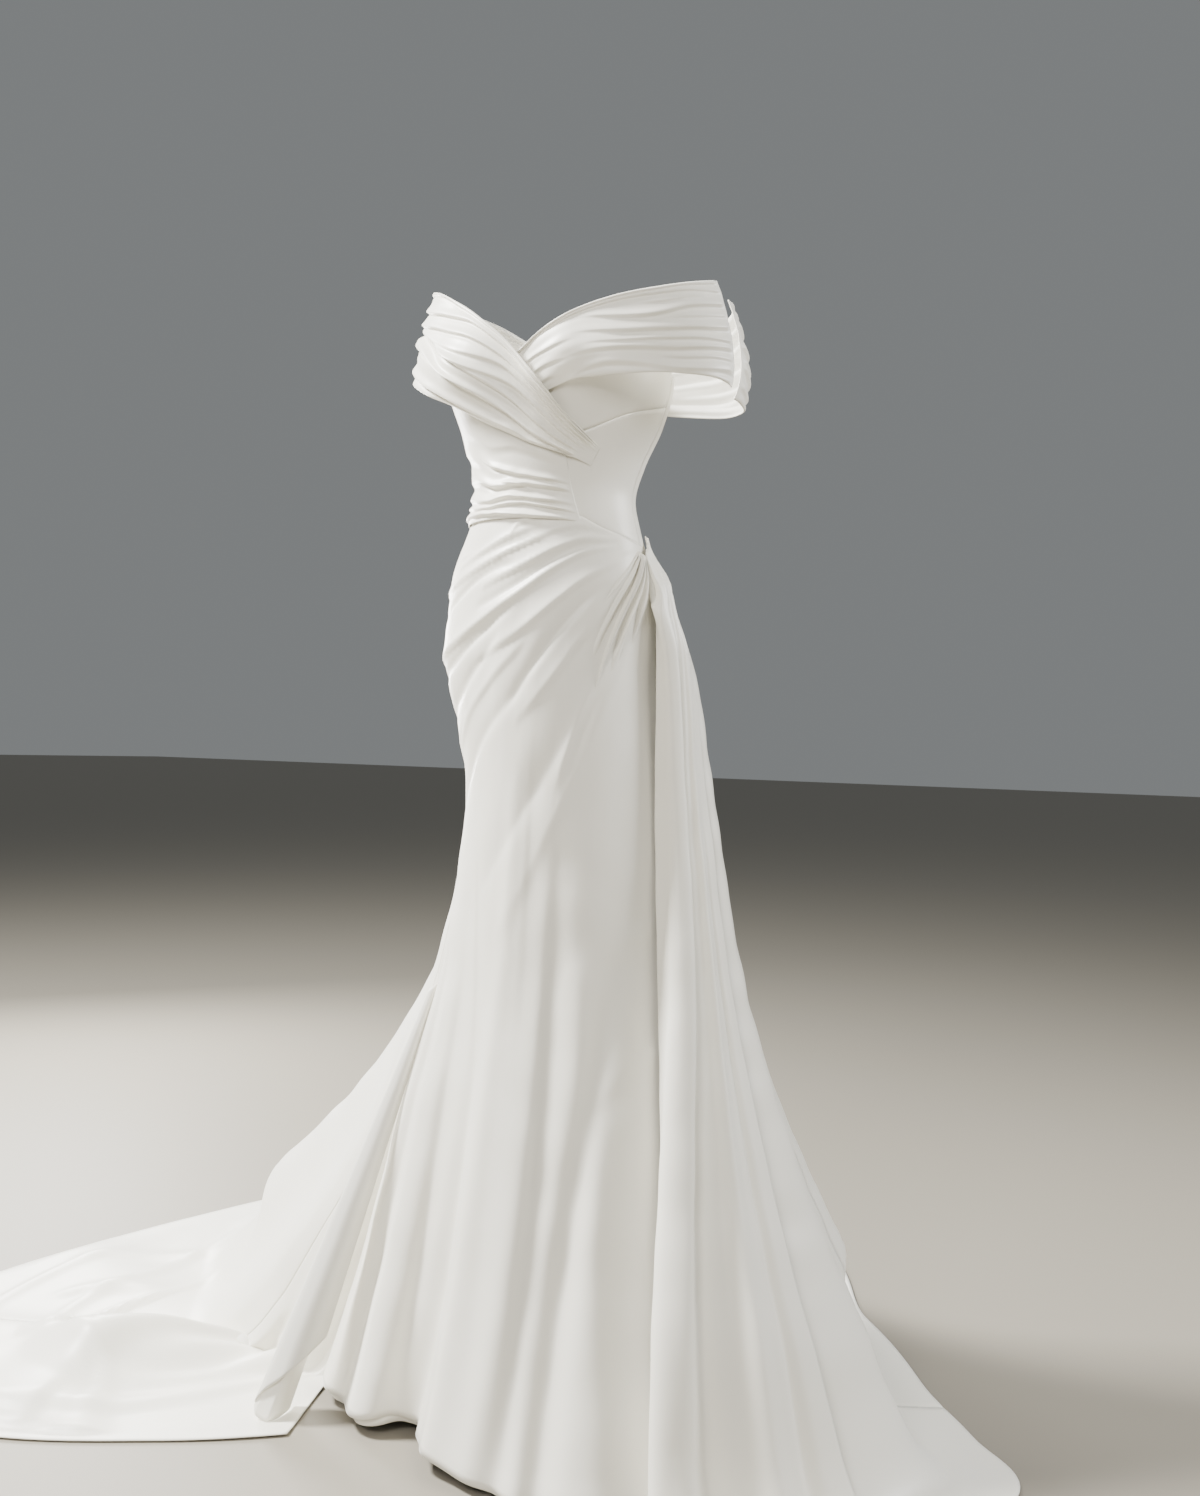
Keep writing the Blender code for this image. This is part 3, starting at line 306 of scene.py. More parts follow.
WRAP_LEFT = table(
    WRAP_COLUMNS,
    (10.0, -12.0, 1.278, 1.334, 0.0027, 0.0027, 0.0027),
    (18.0, 0.0, 1.292, 1.344, 0.004, 0.004, 0.004),
    (26.0, 14.0, 1.298, 1.362, 0.005, 0.006, 0.006),
    (38.0, 32.0, 1.304, 1.384, 0.010, 0.014, 0.016),
    (52.0, 50.0, 1.306, 1.402, 0.034, 0.036, 0.034),
    (66.0, 66.0, 1.308, 1.416, 0.066, 0.064, 0.052),
    (78.0, 78.0, 1.308, 1.428, 0.086, 0.082, 0.064),
    (88.0, 86.0, 1.304, 1.436, 0.092, 0.088, 0.070),
)
SLEEVE_LEFT = table(
    WRAP_COLUMNS,
    (89.0, 94.0, 1.290, 1.422, 0.097, 0.093, 0.073),
    (100.0, 103.0, 1.288, 1.420, 0.097, 0.093, 0.073),
    (114.0, 114.0, 1.292, 1.414, 0.086, 0.082, 0.064),
    (130.0, 130.0, 1.302, 1.406, 0.050, 0.050, 0.040),
    (144.0, 144.0, 1.310, 1.398, 0.016, 0.018, 0.016),
    (156.0, 156.0, 1.314, 1.384, 0.0025, 0.0025, 0.0025),
)
SLEEVE_RIGHT = table(
    WRAP_COLUMNS,
    (-156.0, -156.0, 1.314, 1.384, 0.0025, 0.0025, 0.0025),
    (-146.0, -146.0, 1.318, 1.400, 0.010, 0.009, 0.008),
    (-132.0, -132.0, 1.332, 1.426, 0.028, 0.022, 0.016),
    (-118.0, -118.0, 1.350, 1.448, 0.044, 0.034, 0.020),
    (-104.3, -104.3, 1.362, 1.460, 0.050, 0.036, 0.022),
)
WAIST = table(
    WRAP_COLUMNS,
    (-92.0, -92.0, 1.1440, 1.330, 0.0046, 0.0046, 0.0046),
    (-60.0, -60.0, 1.1440, 1.322, 0.0046, 0.0046, 0.0046),
    (-30.0, -30.0, 1.1440, 1.276, 0.0046, 0.0046, 0.0046),
    (-10.0, -10.0, 1.1430, 1.256, 0.0046, 0.0046, 0.0046),
    (12.0, 10.0, 1.1410, 1.240, 0.0046, 0.0046, 0.0046),
    (48.0, 33.0, 1.1370, 1.224, 0.0012, 0.0008, 0.0008),
)

# Creases run along a band, in shares of its length and width, and stand up in metres.
CREASE_COLUMNS = ("along_0 along_1 along_2 along_3 up_0 up_1 up_2 up_3 "
                  "width height fade_in fade_out")
WRAP_RIGHT_CREASES = table(
    CREASE_COLUMNS,
    (0.00, 0.30, 0.65, 1.00, 0.970, 0.985, 0.985, 0.95, 0.026, 0.0032, 0.00, 0.10),
    (0.00, 0.30, 0.52, 1.00, 0.800, 0.810, 0.925, 0.85, 0.034, 0.0046, 0.00, 0.12),
    (0.00, 0.30, 0.56, 1.00, 0.650, 0.675, 0.800, 0.73, 0.034, 0.0044, 0.00, 0.12),
    (0.30, 0.46, 0.62, 0.98, 0.580, 0.600, 0.700, 0.60, 0.036, 0.0028, 0.16, 0.15),
    (0.32, 0.50, 0.66, 0.96, 0.520, 0.500, 0.560, 0.45, 0.032, 0.0030, 0.14, 0.15),
    (0.18, 0.36, 0.60, 0.92, 0.640, 0.560, 0.400, 0.24, 0.034, 0.0044, 0.10, 0.12),
    (0.00, 0.30, 0.55, 0.90, 0.500, 0.430, 0.246, 0.06, 0.042, 0.0068, 0.00, 0.06),
    (0.10, 0.29, 0.41, 0.56, 0.600, 0.510, 0.385, 0.29, 0.034, -0.0060, 0.08, 0.14),
    (0.00, 0.21, 0.38, 0.70, 0.230, 0.160, 0.090, 0.05, 0.040, 0.0062, 0.00, 0.10),
    (0.00, 0.20, 0.45, 0.86, 0.020, 0.020, 0.025, 0.03, 0.035, 0.0036, 0.00, 0.05),
    (0.00, 0.10, 0.18, 0.26, 0.370, 0.350, 0.320, 0.27, 0.040, 0.0030, 0.00, 0.12),
    (0.00, 0.08, 0.16, 0.22, 0.900, 0.890, 0.900, 0.92, 0.040, 0.0020, 0.00, 0.10),
)
WRAP_LEFT_CREASES = table(
    CREASE_COLUMNS,
    (0.00, 0.30, 0.60, 1.00, 0.985, 0.985, 0.985, 0.980, 0.026, 0.0034, 0.05, 0.05),
    (0.26, 0.50, 0.65, 1.00, 0.950, 0.950, 0.940, 0.890, 0.030, 0.0030, 0.20, 0.05),
    (0.42, 0.66, 0.80, 1.00, 0.920, 0.690, 0.750, 0.770, 0.045, 0.0044, 0.26, 0.05),
    (0.40, 0.64, 0.81, 1.00, 0.700, 0.520, 0.505, 0.550, 0.048, 0.0044, 0.28, 0.05),
    (0.44, 0.64, 0.85, 1.00, 0.480, 0.400, 0.392, 0.410, 0.036, 0.0036, 0.24, 0.05),
    (0.36, 0.53, 0.73, 1.00, 0.370, 0.342, 0.285, 0.350, 0.044, 0.0036, 0.24, 0.05),
    (0.34, 0.53, 0.74, 1.00, 0.040, 0.160, 0.060, 0.140, 0.048, 0.0034, 0.20, 0.05),
    (0.30, 0.50, 0.75, 1.00, 0.015, 0.015, 0.015, 0.015, 0.040, 0.0036, 0.10, 0.05),
    (0.10, 0.20, 0.30, 0.44, 0.720, 0.700, 0.640, 0.600, 0.050, 0.0016, 0.10, 0.14),
    (0.08, 0.18, 0.28, 0.40, 0.420, 0.430, 0.400, 0.340, 0.050, 0.0018, 0.10, 0.12),
    (0.04, 0.14, 0.24, 0.36, 0.160, 0.200, 0.190, 0.130, 0.060, 0.0018, 0.10, 0.12),
    (0.70, 0.80, 0.90, 1.00, 0.640, 0.625, 0.640, 0.660, 0.030, 0.0022, 0.10, 0.05),
    (0.62, 0.72, 0.82, 0.94, 0.860, 0.830, 0.850, 0.850, 0.030, 0.0020, 0.10, 0.10),
    (0.66, 0.76, 0.88, 1.00, 0.200, 0.180, 0.210, 0.240, 0.030, 0.0020, 0.10, 0.05),
)
SLEEVE_CREASES = table(
    CREASE_COLUMNS,
    (0.00, 0.30, 0.60, 1.00, 0.980, 0.980, 0.980, 0.980, 0.028, 0.0034, 0.08, 0.00),
    (0.00, 0.30, 0.60, 1.00, 0.890, 0.860, 0.900, 0.860, 0.032, 0.0026, 0.08, 0.40),
    (0.00, 0.30, 0.60, 1.00, 0.770, 0.720, 0.660, 0.620, 0.050, 0.0042, 0.08, 0.30),
    (0.00, 0.30, 0.60, 0.90, 0.550, 0.500, 0.440, 0.380, 0.048, 0.0040, 0.08, 0.40),
    (0.00, 0.20, 0.45, 0.70, 0.410, 0.350, 0.300, 0.260, 0.040, 0.0030, 0.08, 0.30),
    (0.00, 0.30, 0.60, 1.00, 0.350, 0.220, 0.160, 0.180, 0.050, 0.0034, 0.08, 0.20),
    (0.00, 0.25, 0.50, 0.80, 0.140, 0.100, 0.120, 0.100, 0.040, 0.0030, 0.08, 0.30),
    (0.00, 0.30, 0.60, 1.00, 0.015, 0.015, 0.015, 0.015, 0.040, 0.0034, 0.08, 0.00),
)
WAIST_CREASES = table(
    CREASE_COLUMNS,
    (0.26, 0.45, 0.72, 1.00, 0.520, 0.505, 0.520, 0.555, 0.030, 0.0046, 0.18, 0.13),
    (0.20, 0.40, 0.76, 1.00, 0.330, 0.325, 0.425, 0.450, 0.036, 0.0052, 0.14, 0.09),
    (0.06, 0.30, 0.64, 1.00, 0.200, 0.165, 0.250, 0.262, 0.038, 0.0054, 0.12, 0.14),
    (0.00, 0.27, 0.76, 1.00, 0.150, 0.105, 0.185, 0.140, 0.026, 0.0044, 0.05, 0.10),
    (0.00, 0.30, 0.70, 1.00, 0.040, 0.055, 0.040, 0.020, 0.034, 0.0046, 0.02, 0.12),
    (0.10, 0.35, 0.66, 1.00, 0.640, 0.680, 0.820, 0.840, 0.070, 0.0016, 0.20, 0.20),
    (0.00, 0.10, 0.20, 0.40, 0.330, 0.320, 0.310, 0.280, 0.050, 0.0026, 0.02, 0.20),
    (0.00, 0.12, 0.24, 0.36, 0.540, 0.520, 0.470, 0.450, 0.060, 0.0024, 0.02, 0.16),
    (0.46, 0.56, 0.66, 0.80, 0.380, 0.390, 0.400, 0.350, 0.024, 0.0018, 0.12, 0.10),
)
CREASE_SOFT_SIDE = 1.5
CREASE_STEEP_SIDE = 0.5
VALLEY_DEPTH = 0.3
VALLEY_BELOW = 1.1
VALLEY_WIDTH = 0.5
# Each band's table and creases, its faces along and up, and the seed of its ripples.
BANDS = {
    "wrap_right": (WRAP_RIGHT, WRAP_RIGHT_CREASES, 210, 130, 3),
    "wrap_left": (WRAP_LEFT, WRAP_LEFT_CREASES, 170, 120, 5),
    "sleeve_left": (SLEEVE_LEFT, SLEEVE_CREASES, 80, 80, 7),
    "sleeve_right": (SLEEVE_RIGHT, SLEEVE_CREASES, 80, 80, 9),
    "waist_drape": (WAIST, WAIST_CREASES, 180, 110, 11),
}
SWAY = 0.010
SWAY_SPAN = (0.5, 0.03)
RUFFLE = 0.0008
RUFFLE_SPAN = 0.12
RUFFLE_SIZE = 0.035
RUFFLE_FADE = 0.006

# The pleats end here, fanned out from the left hip point.
HIP_FAN = table(
    "across_end down_end height",
    (0.850, 0.085, 0.003),
    (0.825, 0.150, 0.006),
    (0.835, 0.205, 0.013),
    (0.900, 0.160, 0.011),
    (0.948, 0.115, 0.009),
)
HIP_POINT = (0.955, 0.006)
FAN_COUNTS = (120, 80)
FAN_PLEATS = 5
FAN_SHARPNESS = 5
FAN_START = 0.02
FAN_RISE = 0.10
FAN_FALL = 0.55
FAN_SINK = 0.0012
UNDERSKIRT_COUNTS = (90, 16)
UNDERSKIRT_TOP = 0.90
UNDERSKIRT_INSET = 0.009
UNDERSKIRT_DROP = 0.010
UNDERSKIRT_SPAN = (0.10, 0.42)
# The hem of the train's near corner, as it curls over.
TRAIN_FOLD = table(
    "x y height",
    (-0.192, -0.176, 0.094),
    (-0.199, -0.203, 0.079),
    (-0.222, -0.226, 0.052),
    (-0.244, -0.233, 0.034),
    (-0.254, -0.236, 0.018),
    (-0.249, -0.240, 0.006),
    (-0.233, -0.239, 0.0011),
    (-0.226, -0.222, 0.0013),
    (-0.227, -0.203, 0.0024),
    (-0.233, -0.188, 0.0060),
)
FOLD_TOP = (-0.124, -0.058, 0.530)
FOLD_TOP_SIZE = 0.12
TRAIN_FOLD_COUNTS = (90, 90)

SATIN = "ivory satin"
LINING = "matte lining"
ROOT = "root"
# Noise scales follow the cloth's own width and length.
FLOATS_SCALE = (2200.0, 160.0, 1.0)
WARP_SCALE = (900.0, 2600.0, 1.0)
FLOATS_SHARE = 0.7
CRUSH_SCALE = (22.0, 9.0, 1.0)
# Size of the random patches where painted shade is mixed into the satin.
SHADE_PATCH_SCALE = (3.0, 1.6, 1.0)
SATIN_CRUSH = 0.30
LINING_ROUGHNESS = 0.6
LINING_SHEEN = 0.1
LINING_CRUSH = 0.15
THREAD_GLOSS = 0.10
THREAD_RELIEF = 0.25
THREAD_DEPTH = 0.0001
CRUSH_DEPTH = 0.004
SHEEN_ROUGHNESS = 0.35
SHINE = 0.42

# The stage.
FLOOR_SIZE = 40.0
FLOOR_GAP = 0.0005
FLOOR_ROUGHNESS = 0.55
GLOW = 0.34
SENSOR_HEIGHT = 36.0
PICTURE_HEIGHT = 1496.0
FOCAL_PIXELS = 1400.0

# Each lamp's place, the point it faces, its width in metres, its watts and its colour.
LAMPS = {
    "key": ((-2.4, -1.0, 2.4), (-0.1, 0.0, -0.5), 0.7, 640.0, (1.0, 1.0, 0.98)),
    "front": ((0.3, -3.0, 1.5), (0.0, 0.0, -0.5), 1.2, 95.0, (1.0, 0.97, 0.92)),
    "low": ((-2.3, 1.2, 0.0), (-0.6, 0.0, -1.1), 0.7, 90.0, (1.0, 0.99, 0.96)),
    "rim": ((2.2, 1.1, 0.9), (0.1, 0.0, -0.5), 0.9, 85.0, (0.98, 0.99, 1.0)),
}


def steady_slopes(slope):
    """Slopes at the knots of a line that never swings past them, along the first axis."""
    before, after = slope[:-1], slope[1:]
    same = before * after > 0
    middle = np.where(same, 2 * before * after / np.where(same, before + after, 1), 0)
    return np.concatenate([slope[:1], middle, slope[-1:]])


def between(first, last, leave, reach, part):
    """Cubic from one value to another, with the slopes at which it leaves and reaches them."""
    near = first * (1 + 2 * part) * (1 - part) ** 2 + leave * part * (1 - part) ** 2
    return near + last * part ** 2 * (3 - 2 * part) + reach * part ** 2 * (part - 1)


def smooth(knots, values, at):
    """Cubic through the rows of a table that never swings past them."""
    knots = np.asarray(knots, float)
    values = np.asarray(values, float)
    at = np.asarray(at, float)
    tangent = steady_slopes(np.diff(values) / np.diff(knots))
    i = np.clip(np.searchsorted(knots, at) - 1, 0, len(knots) - 2)
    span = knots[i + 1] - knots[i]
    part = np.clip((at - knots[i]) / span, 0, 1)
    return between(values[i], values[i + 1], tangent[i] * span, tangent[i + 1] * span, part)


def ease(x):
    """Smooth step from 0 to 1."""
    x = np.clip(x, 0, 1)
    return x * x * (3 - 2 * x)


def direction(angle):
    """Level unit vector for an angle round the body."""
    turn = np.radians(angle)
    return np.sin(turn), -np.cos(turn)


def torso_radius(angle, height):
    """Distance of the fitted bodice from the body's axis."""
    across, ahead = direction(angle)
    half = smooth(TORSO["height"], TORSO["half_width"], height)
    front = smooth(TORSO["height"], TORSO["front"], height)
    back = smooth(TORSO["height"], TORSO["back"], height)
    deep = np.where(ahead < 0, front, back)
    radius = 1 / np.sqrt((across / half) ** 2 + (ahead / deep) ** 2)
    for at, level, spread, rise, out in zip(*CUPS.values()):
        swing = (angle - at) / spread
        lift = (height - level) / rise
        radius = radius + out * np.exp(-swing ** 2 - lift ** 2)
    return radius


def on_body(angle, height, radius):
    """Point at a distance from the body's axis, which leans a little with height."""
    across, ahead = direction(angle)
    shift = smooth(TORSO["height"], TORSO["shift"], height)
    return np.stack([shift + radius * across, radius * ahead, height - WAIST_HEIGHT], -1)


def follow(nodes, part):
    """Points at a part of the way along smooth lines through nodes, one line for each point."""
    steps = np.linalg.norm(np.diff(nodes, axis=-2), axis=-1)
    run = np.concatenate([np.zeros_like(steps[..., :1]), np.cumsum(steps, -1)], -1)
    slope = np.diff(nodes, axis=-2) / steps[..., None]
    tangent = np.moveaxis(steady_slopes(np.moveaxis(slope, -2, 0)), 0, -2)
    at = part * run[..., -1]
    i = np.clip(np.sum(run < at[..., None], -1) - 1, 0, steps.shape[-1] - 1)[..., None]
    start = np.take_along_axis(run, i, -1)
    span = np.take_along_axis(steps, i, -1)
    t = np.clip((at[..., None] - start) / span, 0, 1)
    i = i[..., None]
    first, last, leave, reach = (np.take_along_axis(line, at_row, -2)[..., 0, :]
                                 for line in (nodes, tangent) for at_row in (i, i + 1))
    return between(first, last, leave * span, reach * span, t)


def skirt_points(falls, across, down, out=0.0):
    """Points of a skirt panel, on fall lines that leave the body and follow the table."""
    rows = len(falls["hem"]) - 1
    stations = np.arange(rows + 1)
    here = {key: smooth(stations, column, across * rows) for key, column in falls.items()}
    top = here["top_height"]
    heights = [top, (top + HEIGHTS["hip"]) / 2]
    radii = [torso_radius(here["top_angle"], height) for height in heights]
    for key, height in HEIGHTS.items():
        heights.append(np.full_like(top, height))
        radii.append(here[key])
    if "touch" in here:
        lying = FLOOR_LIFT + (LAYER if out > 0 else 0)
        heights.append(np.full_like(top, lying))
        radii.append(here["touch"])
        heights.append(np.full_like(top, lying))
    else:
        heights.append(here["hem_height"])
    radii.append(here["hem"])
    nodes = []
    for height, radius in zip(heights, radii):
        swing = ease((HEIGHTS["hip"] - height) / HEIGHTS["hip"])
        angle = here["top_angle"] * (1 - swing) + here["floor_angle"] * swing
        nodes.append(on_body(angle, height, radius + out))
    if "hem_angle" in here:
        nodes[-1] = on_body(here["hem_angle"], heights[-1], radii[-1] + out)
    return follow(np.stack(nodes, -2), down)


def fold_field(across, down, folds, plan, crisp):
    """Height of all folds at each place of a panel, over the panel's own flat plan."""
    total = np.zeros(across.shape)
    along = np.linspace(0, 1, PATH_STEPS)
    blend = np.stack([(1 - along) ** 2, 2 * along * (1 - along), along ** 2])
    for a0, d0, a1, d1, a2, d2, w0, w2, deep_0, deep_1, deep_2, lean in zip(*folds.values()):
        path_a = np.array([a0, a1, a2]) @ blend * plan[0]
        path_d = np.array([d0, d1, d2]) @ blend * plan[1]
        gap_a = across[..., None] * plan[0] - path_a
        gap_d = down[..., None] * plan[1] - path_d
        nearest = np.argmin(gap_a ** 2 + gap_d ** 2, axis=-1)
        away_a = np.take_along_axis(gap_a, nearest[..., None], -1)[..., 0]
        away_d = np.take_along_axis(gap_d, nearest[..., None], -1)[..., 0]
        turn_a = np.gradient(path_a)[nearest]
        turn_d = np.gradient(path_d)[nearest]
        length = np.hypot(turn_a, turn_d)
        side = (away_a * turn_d - away_d * turn_a) / length
        past = (away_a * turn_a + away_d * turn_d) / length
        beyond = np.where((nearest == 0) | (nearest == len(along) - 1), past, 0)
        place = np.clip(along[nearest] + past / (length * len(along)), 0, 1)
        width = w0 + (w2 - w0) * place
        spread = width * (1 + lean * np.tanh(side / width * 2))
        shape = np.exp(-np.abs(side / spread) ** crisp - (beyond / (2 * width)) ** 2)
        deep = deep_0 * (1 - place) ** 2 + deep_1 * 2 * place * (1 - place) + deep_2 * place ** 2
        total += deep * shape
    return total


def ripple(u, v, size, seed):
    """Uneven soft hollows and swells between -1 and 1, over a piece's own metres."""
    dice = np.random.RandomState(seed)
    turns = dice.uniform(0, math.pi, RIPPLE_WAVES)
    paces = dice.uniform(*RIPPLE_PACES, RIPPLE_WAVES)
    phases = dice.uniform(0, 2 * math.pi, RIPPLE_WAVES)
    total = np.zeros(np.shape(u))
    for turn, pace, phase in zip(turns, paces, phases):
        away = u * math.cos(turn) + v * math.sin(turn)
        total += np.sin(away * 2 * math.pi * pace / size + phase)
    return total / RIPPLE_WAVES


def push_out(grid, amount):
    """Moves a grid of points along its own normals."""
    along = np.gradient(grid, axis=0)
    up = np.gradient(grid, axis=1)
    normal = np.cross(up, along)
    normal /= np.linalg.norm(normal, axis=-1, keepdims=True) + 1e-12
    return grid + normal * amount[..., None]


def keep_off_floor(grid):
    """Raises what would sink below the floor."""
    grid[..., 2] = np.maximum(grid[..., 2], FLOOR_LIFT - WAIST_HEIGHT)
    return grid


def places(columns, rows):
    """Even places across and down a panel."""
    return np.meshgrid(np.linspace(0, 1, columns + 1), np.linspace(0, 1, rows + 1), indexing="ij")


def panel_grid(falls, folds, plan, across, down, wrinkle, out=0.0, seams=(), puff=0.0):
    """Skirt panel at the given places across and down its table, with its folds and seams."""
    grid = skirt_points(falls, across, down, out)
    lift = sum(fold_field(across, down, group, plan, crisp) for group, crisp in folds)
    lift = lift + wrinkle * ripple(across * plan[0], down * plan[1], WRINKLE_SIZE,
                                   seed=len(folds))
    lift = lift + HEM_RISE * (down > 1 - HEM_DEPTH / plan[1])
    for seam in seams:
        lift = lift - SEAM_DIP * np.exp(-((across - seam) * plan[0] / SEAM_WIDTH) ** 2)
    return keep_off_floor(push_out(grid, lift + puff))


def overskirt_puff(across, down):
    """How far the gathers puff the side panel out below its top edge, with their creases."""
    swell = OVERSKIRT_PUFF * np.exp(-((down - PUFF_DOWN) / PUFF_DOWN) ** 2) * ease(down / PUFF_DOWN)
    gathers = np.abs(np.sin(np.pi * GATHERS * across ** GATHER_CROWDING)) ** 3
    creases = GATHER_HEIGHT * gathers * ease((GATHER_DOWN - down) / GATHER_DOWN)
    return ease(across / PUFF_FRONT) * ease((1 - across) / PUFF_REAR) * (swell + creases)


def fan_grid(columns, rows):
    """Raised pleats that fan out over the front panel from the left hip point."""
    turn, run = places(columns, rows)
    run = FAN_START + (1 - FAN_START) * run
    stations = np.linspace(0, 1, len(HIP_FAN["down_end"]))
    end_across = smooth(stations, HIP_FAN["across_end"], turn)
    end_down = smooth(stations, HIP_FAN["down_end"], turn)
    across = HIP_POINT[0] + (end_across - HIP_POINT[0]) * run
    down = HIP_POINT[1] + (end_down - HIP_POINT[1]) * run
    pleat = np.abs(np.sin(np.pi * FAN_PLEATS * turn)) ** FAN_SHARPNESS
    fade = ease(run / FAN_RISE) * ease((1 - run) / FAN_FALL)
    raised = smooth(stations, HIP_FAN["height"], turn) * pleat * fade - FAN_SINK
    return push_out(skirt_points(FRONT, across, down),
                    raised + fold_field(across, down, HIP_FOLDS, FRONT_PLAN, CRISP))


def train_fold_grid(columns, rows):
    """The near corner of the train, which stands up in one flute from its curled hem."""
    stations = np.linspace(0, 1, len(TRAIN_FOLD["x"]))
    turn, run = places(columns, rows)
    here = {key: smooth(stations, column, turn) for key, column in TRAIN_FOLD.items()}
    hem = np.stack([here["x"], here["y"], here["height"] + FLOOR_LIFT - WAIST_HEIGHT], -1)
    top = np.array(FOLD_TOP) - (0, 0, WAIST_HEIGHT)
    top = top + FOLD_TOP_SIZE * (hem - hem.mean(axis=(0, 1)))
    return keep_off_floor(hem * (1 - run[..., None]) + top * run[..., None])


def underskirt_grid(columns, rows):
    """Strip of the under layer that hangs just inside the front hem and shows below it."""
    across, down = places(columns, rows)
    across = UNDERSKIRT_SPAN[0] + (UNDERSKIRT_SPAN[1] - UNDERSKIRT_SPAN[0]) * across
    down = UNDERSKIRT_TOP + (1 - UNDERSKIRT_TOP) * down
    grid = skirt_points(FRONT, across, down, -UNDERSKIRT_INSET)
    grid[..., 2] -= UNDERSKIRT_DROP
    return keep_off_floor(push_out(grid, fold_field(across, down, SKIRT_FOLDS, FRONT_PLAN, SOFT)))


def crease_field(along, up, creases):
    """Height of folded creases along a band, each steep below its crest and soft above it."""
    total = np.zeros_like(along)
    for row in zip(*creases.values()):
        starts, crests = row[:4], row[4:8]
        width, height, fade_in, fade_out = row[8:]
        side = (up - smooth(starts, crests, along)) / width
        shape = np.exp(-(side / np.where(side > 0, CREASE_SOFT_SIDE, CREASE_STEEP_SIDE)) ** 2)
        shape -= VALLEY_DEPTH * np.exp(-((side + VALLEY_BELOW) / VALLEY_WIDTH) ** 2)
        fade = ease((along - starts[0]) / fade_in) if fade_in else (along >= starts[0])
        fade = fade * (ease((starts[3] - along) / fade_out) if fade_out else 1)
        total += height * shape * fade
    return total


def wrap_grid(wrap, creases, columns, rows, seed):
    """Band of cloth round the body between its low and top edges, with its creases."""
    along, up = places(columns, rows)
    stations = np.linspace(0, 1, len(wrap["low_angle"]))
    here = {key: smooth(stations, column, along) for key, column in wrap.items()}
    angle = here["low_angle"] * (1 - up) + here["top_angle"] * up
    height = here["low_height"] * (1 - up) + here["top_height"] * up
    low = here["low_out"] * (1 - up) * (1 - 2 * up)
    middle = here["mid_out"] * 4 * up * (1 - up)
    top = here["top_out"] * up * (2 * up - 1)
    sway = up + SWAY * ripple(along * SWAY_SPAN[0], up * SWAY_SPAN[1], RIPPLE_SIZE, seed)
    out = low + middle + top + crease_field(along, sway, creases)
    ruffle = ripple(along * RUFFLE_SPAN, up * RUFFLE_SPAN, RUFFLE_SIZE, seed + 1)
    out = out + RUFFLE * ruffle * ease(middle / RUFFLE_FADE)
    return on_body(angle, height, torso_radius(angle, height) + out)


def skirt_top(falls, angle):
    """Height of a skirt panel's top edge at an angle round the body."""
    rows = len(falls["hem"]) - 1
    at = np.linspace(0, rows, 400)
    angles = smooth(np.arange(rows + 1), falls["top_angle"], at)
    heights = smooth(np.arange(rows + 1), falls["top_height"], at)
    return np.interp(angle, angles, heights)


def above_skirt(angle):
    """Height of the bodice's low edge, just over the skirt's top edge."""
    front = skirt_top(FRONT, angle)
    back = skirt_top(BACK, angle)
    return np.where(angle < FRONT["top_angle"][-1], front, back)


def cup_seam(angle):
    """Height of the seam under the left cup."""
    return smooth(CUP_SEAM["angle"], CUP_SEAM["height"], angle)


def bodice_grid(start, end, bottom, tops, columns, rows):
    """Smooth fitted panel between two angles, its low edge a function and its top at even steps."""
    along = np.linspace(0, 1, columns + 1)
    angle = start + (end - start) * along
    low = bottom(angle)
    top = smooth(np.linspace(0, 1, len(tops)), tops, along)
    up = np.linspace(0, 1, rows + 1)
    height = low[:, None] * (1 - up) + top[:, None] * up
    if bottom is above_skirt:
        height[:, 0] -= TUCK
    angle = np.repeat(angle[:, None], rows + 1, 1)
    soft = BODICE_RIPPLE * ripple(angle * METRES_A_DEGREE, height, RIPPLE_SIZE, columns)
    soft[:, 0] -= LOW_EDGE_IN
    return on_body(angle, height, torso_radius(angle, height) + soft)


def new_group(name, outputs):
    """Empty shader node group that takes cloth coordinates and gives named numbers."""
    group = bpy.data.node_groups.new(name, "ShaderNodeTree")
    group.interface.new_socket("Cloth", in_out="INPUT", socket_type="NodeSocketVector")
    for label in outputs:
        group.interface.new_socket(label, in_out="OUTPUT", socket_type="NodeSocketFloat")
    cloth = group.nodes.new("NodeGroupInput").outputs["Cloth"]
    return group, cloth, group.nodes.new("NodeGroupOutput")


def maths(tree, operation, first, second):
    """Maths node on two sockets or numbers."""
    node = tree.nodes.new("ShaderNodeMath")
    node.operation = operation
    for socket, value in zip(node.inputs, (first, second)):
        if isinstance(value, (int, float)):
            socket.default_value = value
        else:
            tree.links.new(value, socket)
    return node.outputs["Value"]


def noise(tree, vector, scale, detail):
    """Noise over coordinates that are stretched by three factors."""
    stretch = tree.nodes.new("ShaderNodeMapping")
    stretch.inputs["Scale"].default_value = scale
    tree.links.new(vector, stretch.inputs["Vector"])
    node = tree.nodes.new("ShaderNodeTexNoise")
    node.inputs["Scale"].default_value = 1.0
    node.inputs["Detail"].default_value = detail
    tree.links.new(stretch.outputs["Vector"], node.inputs["Vector"])
    return node.outputs["Fac"]


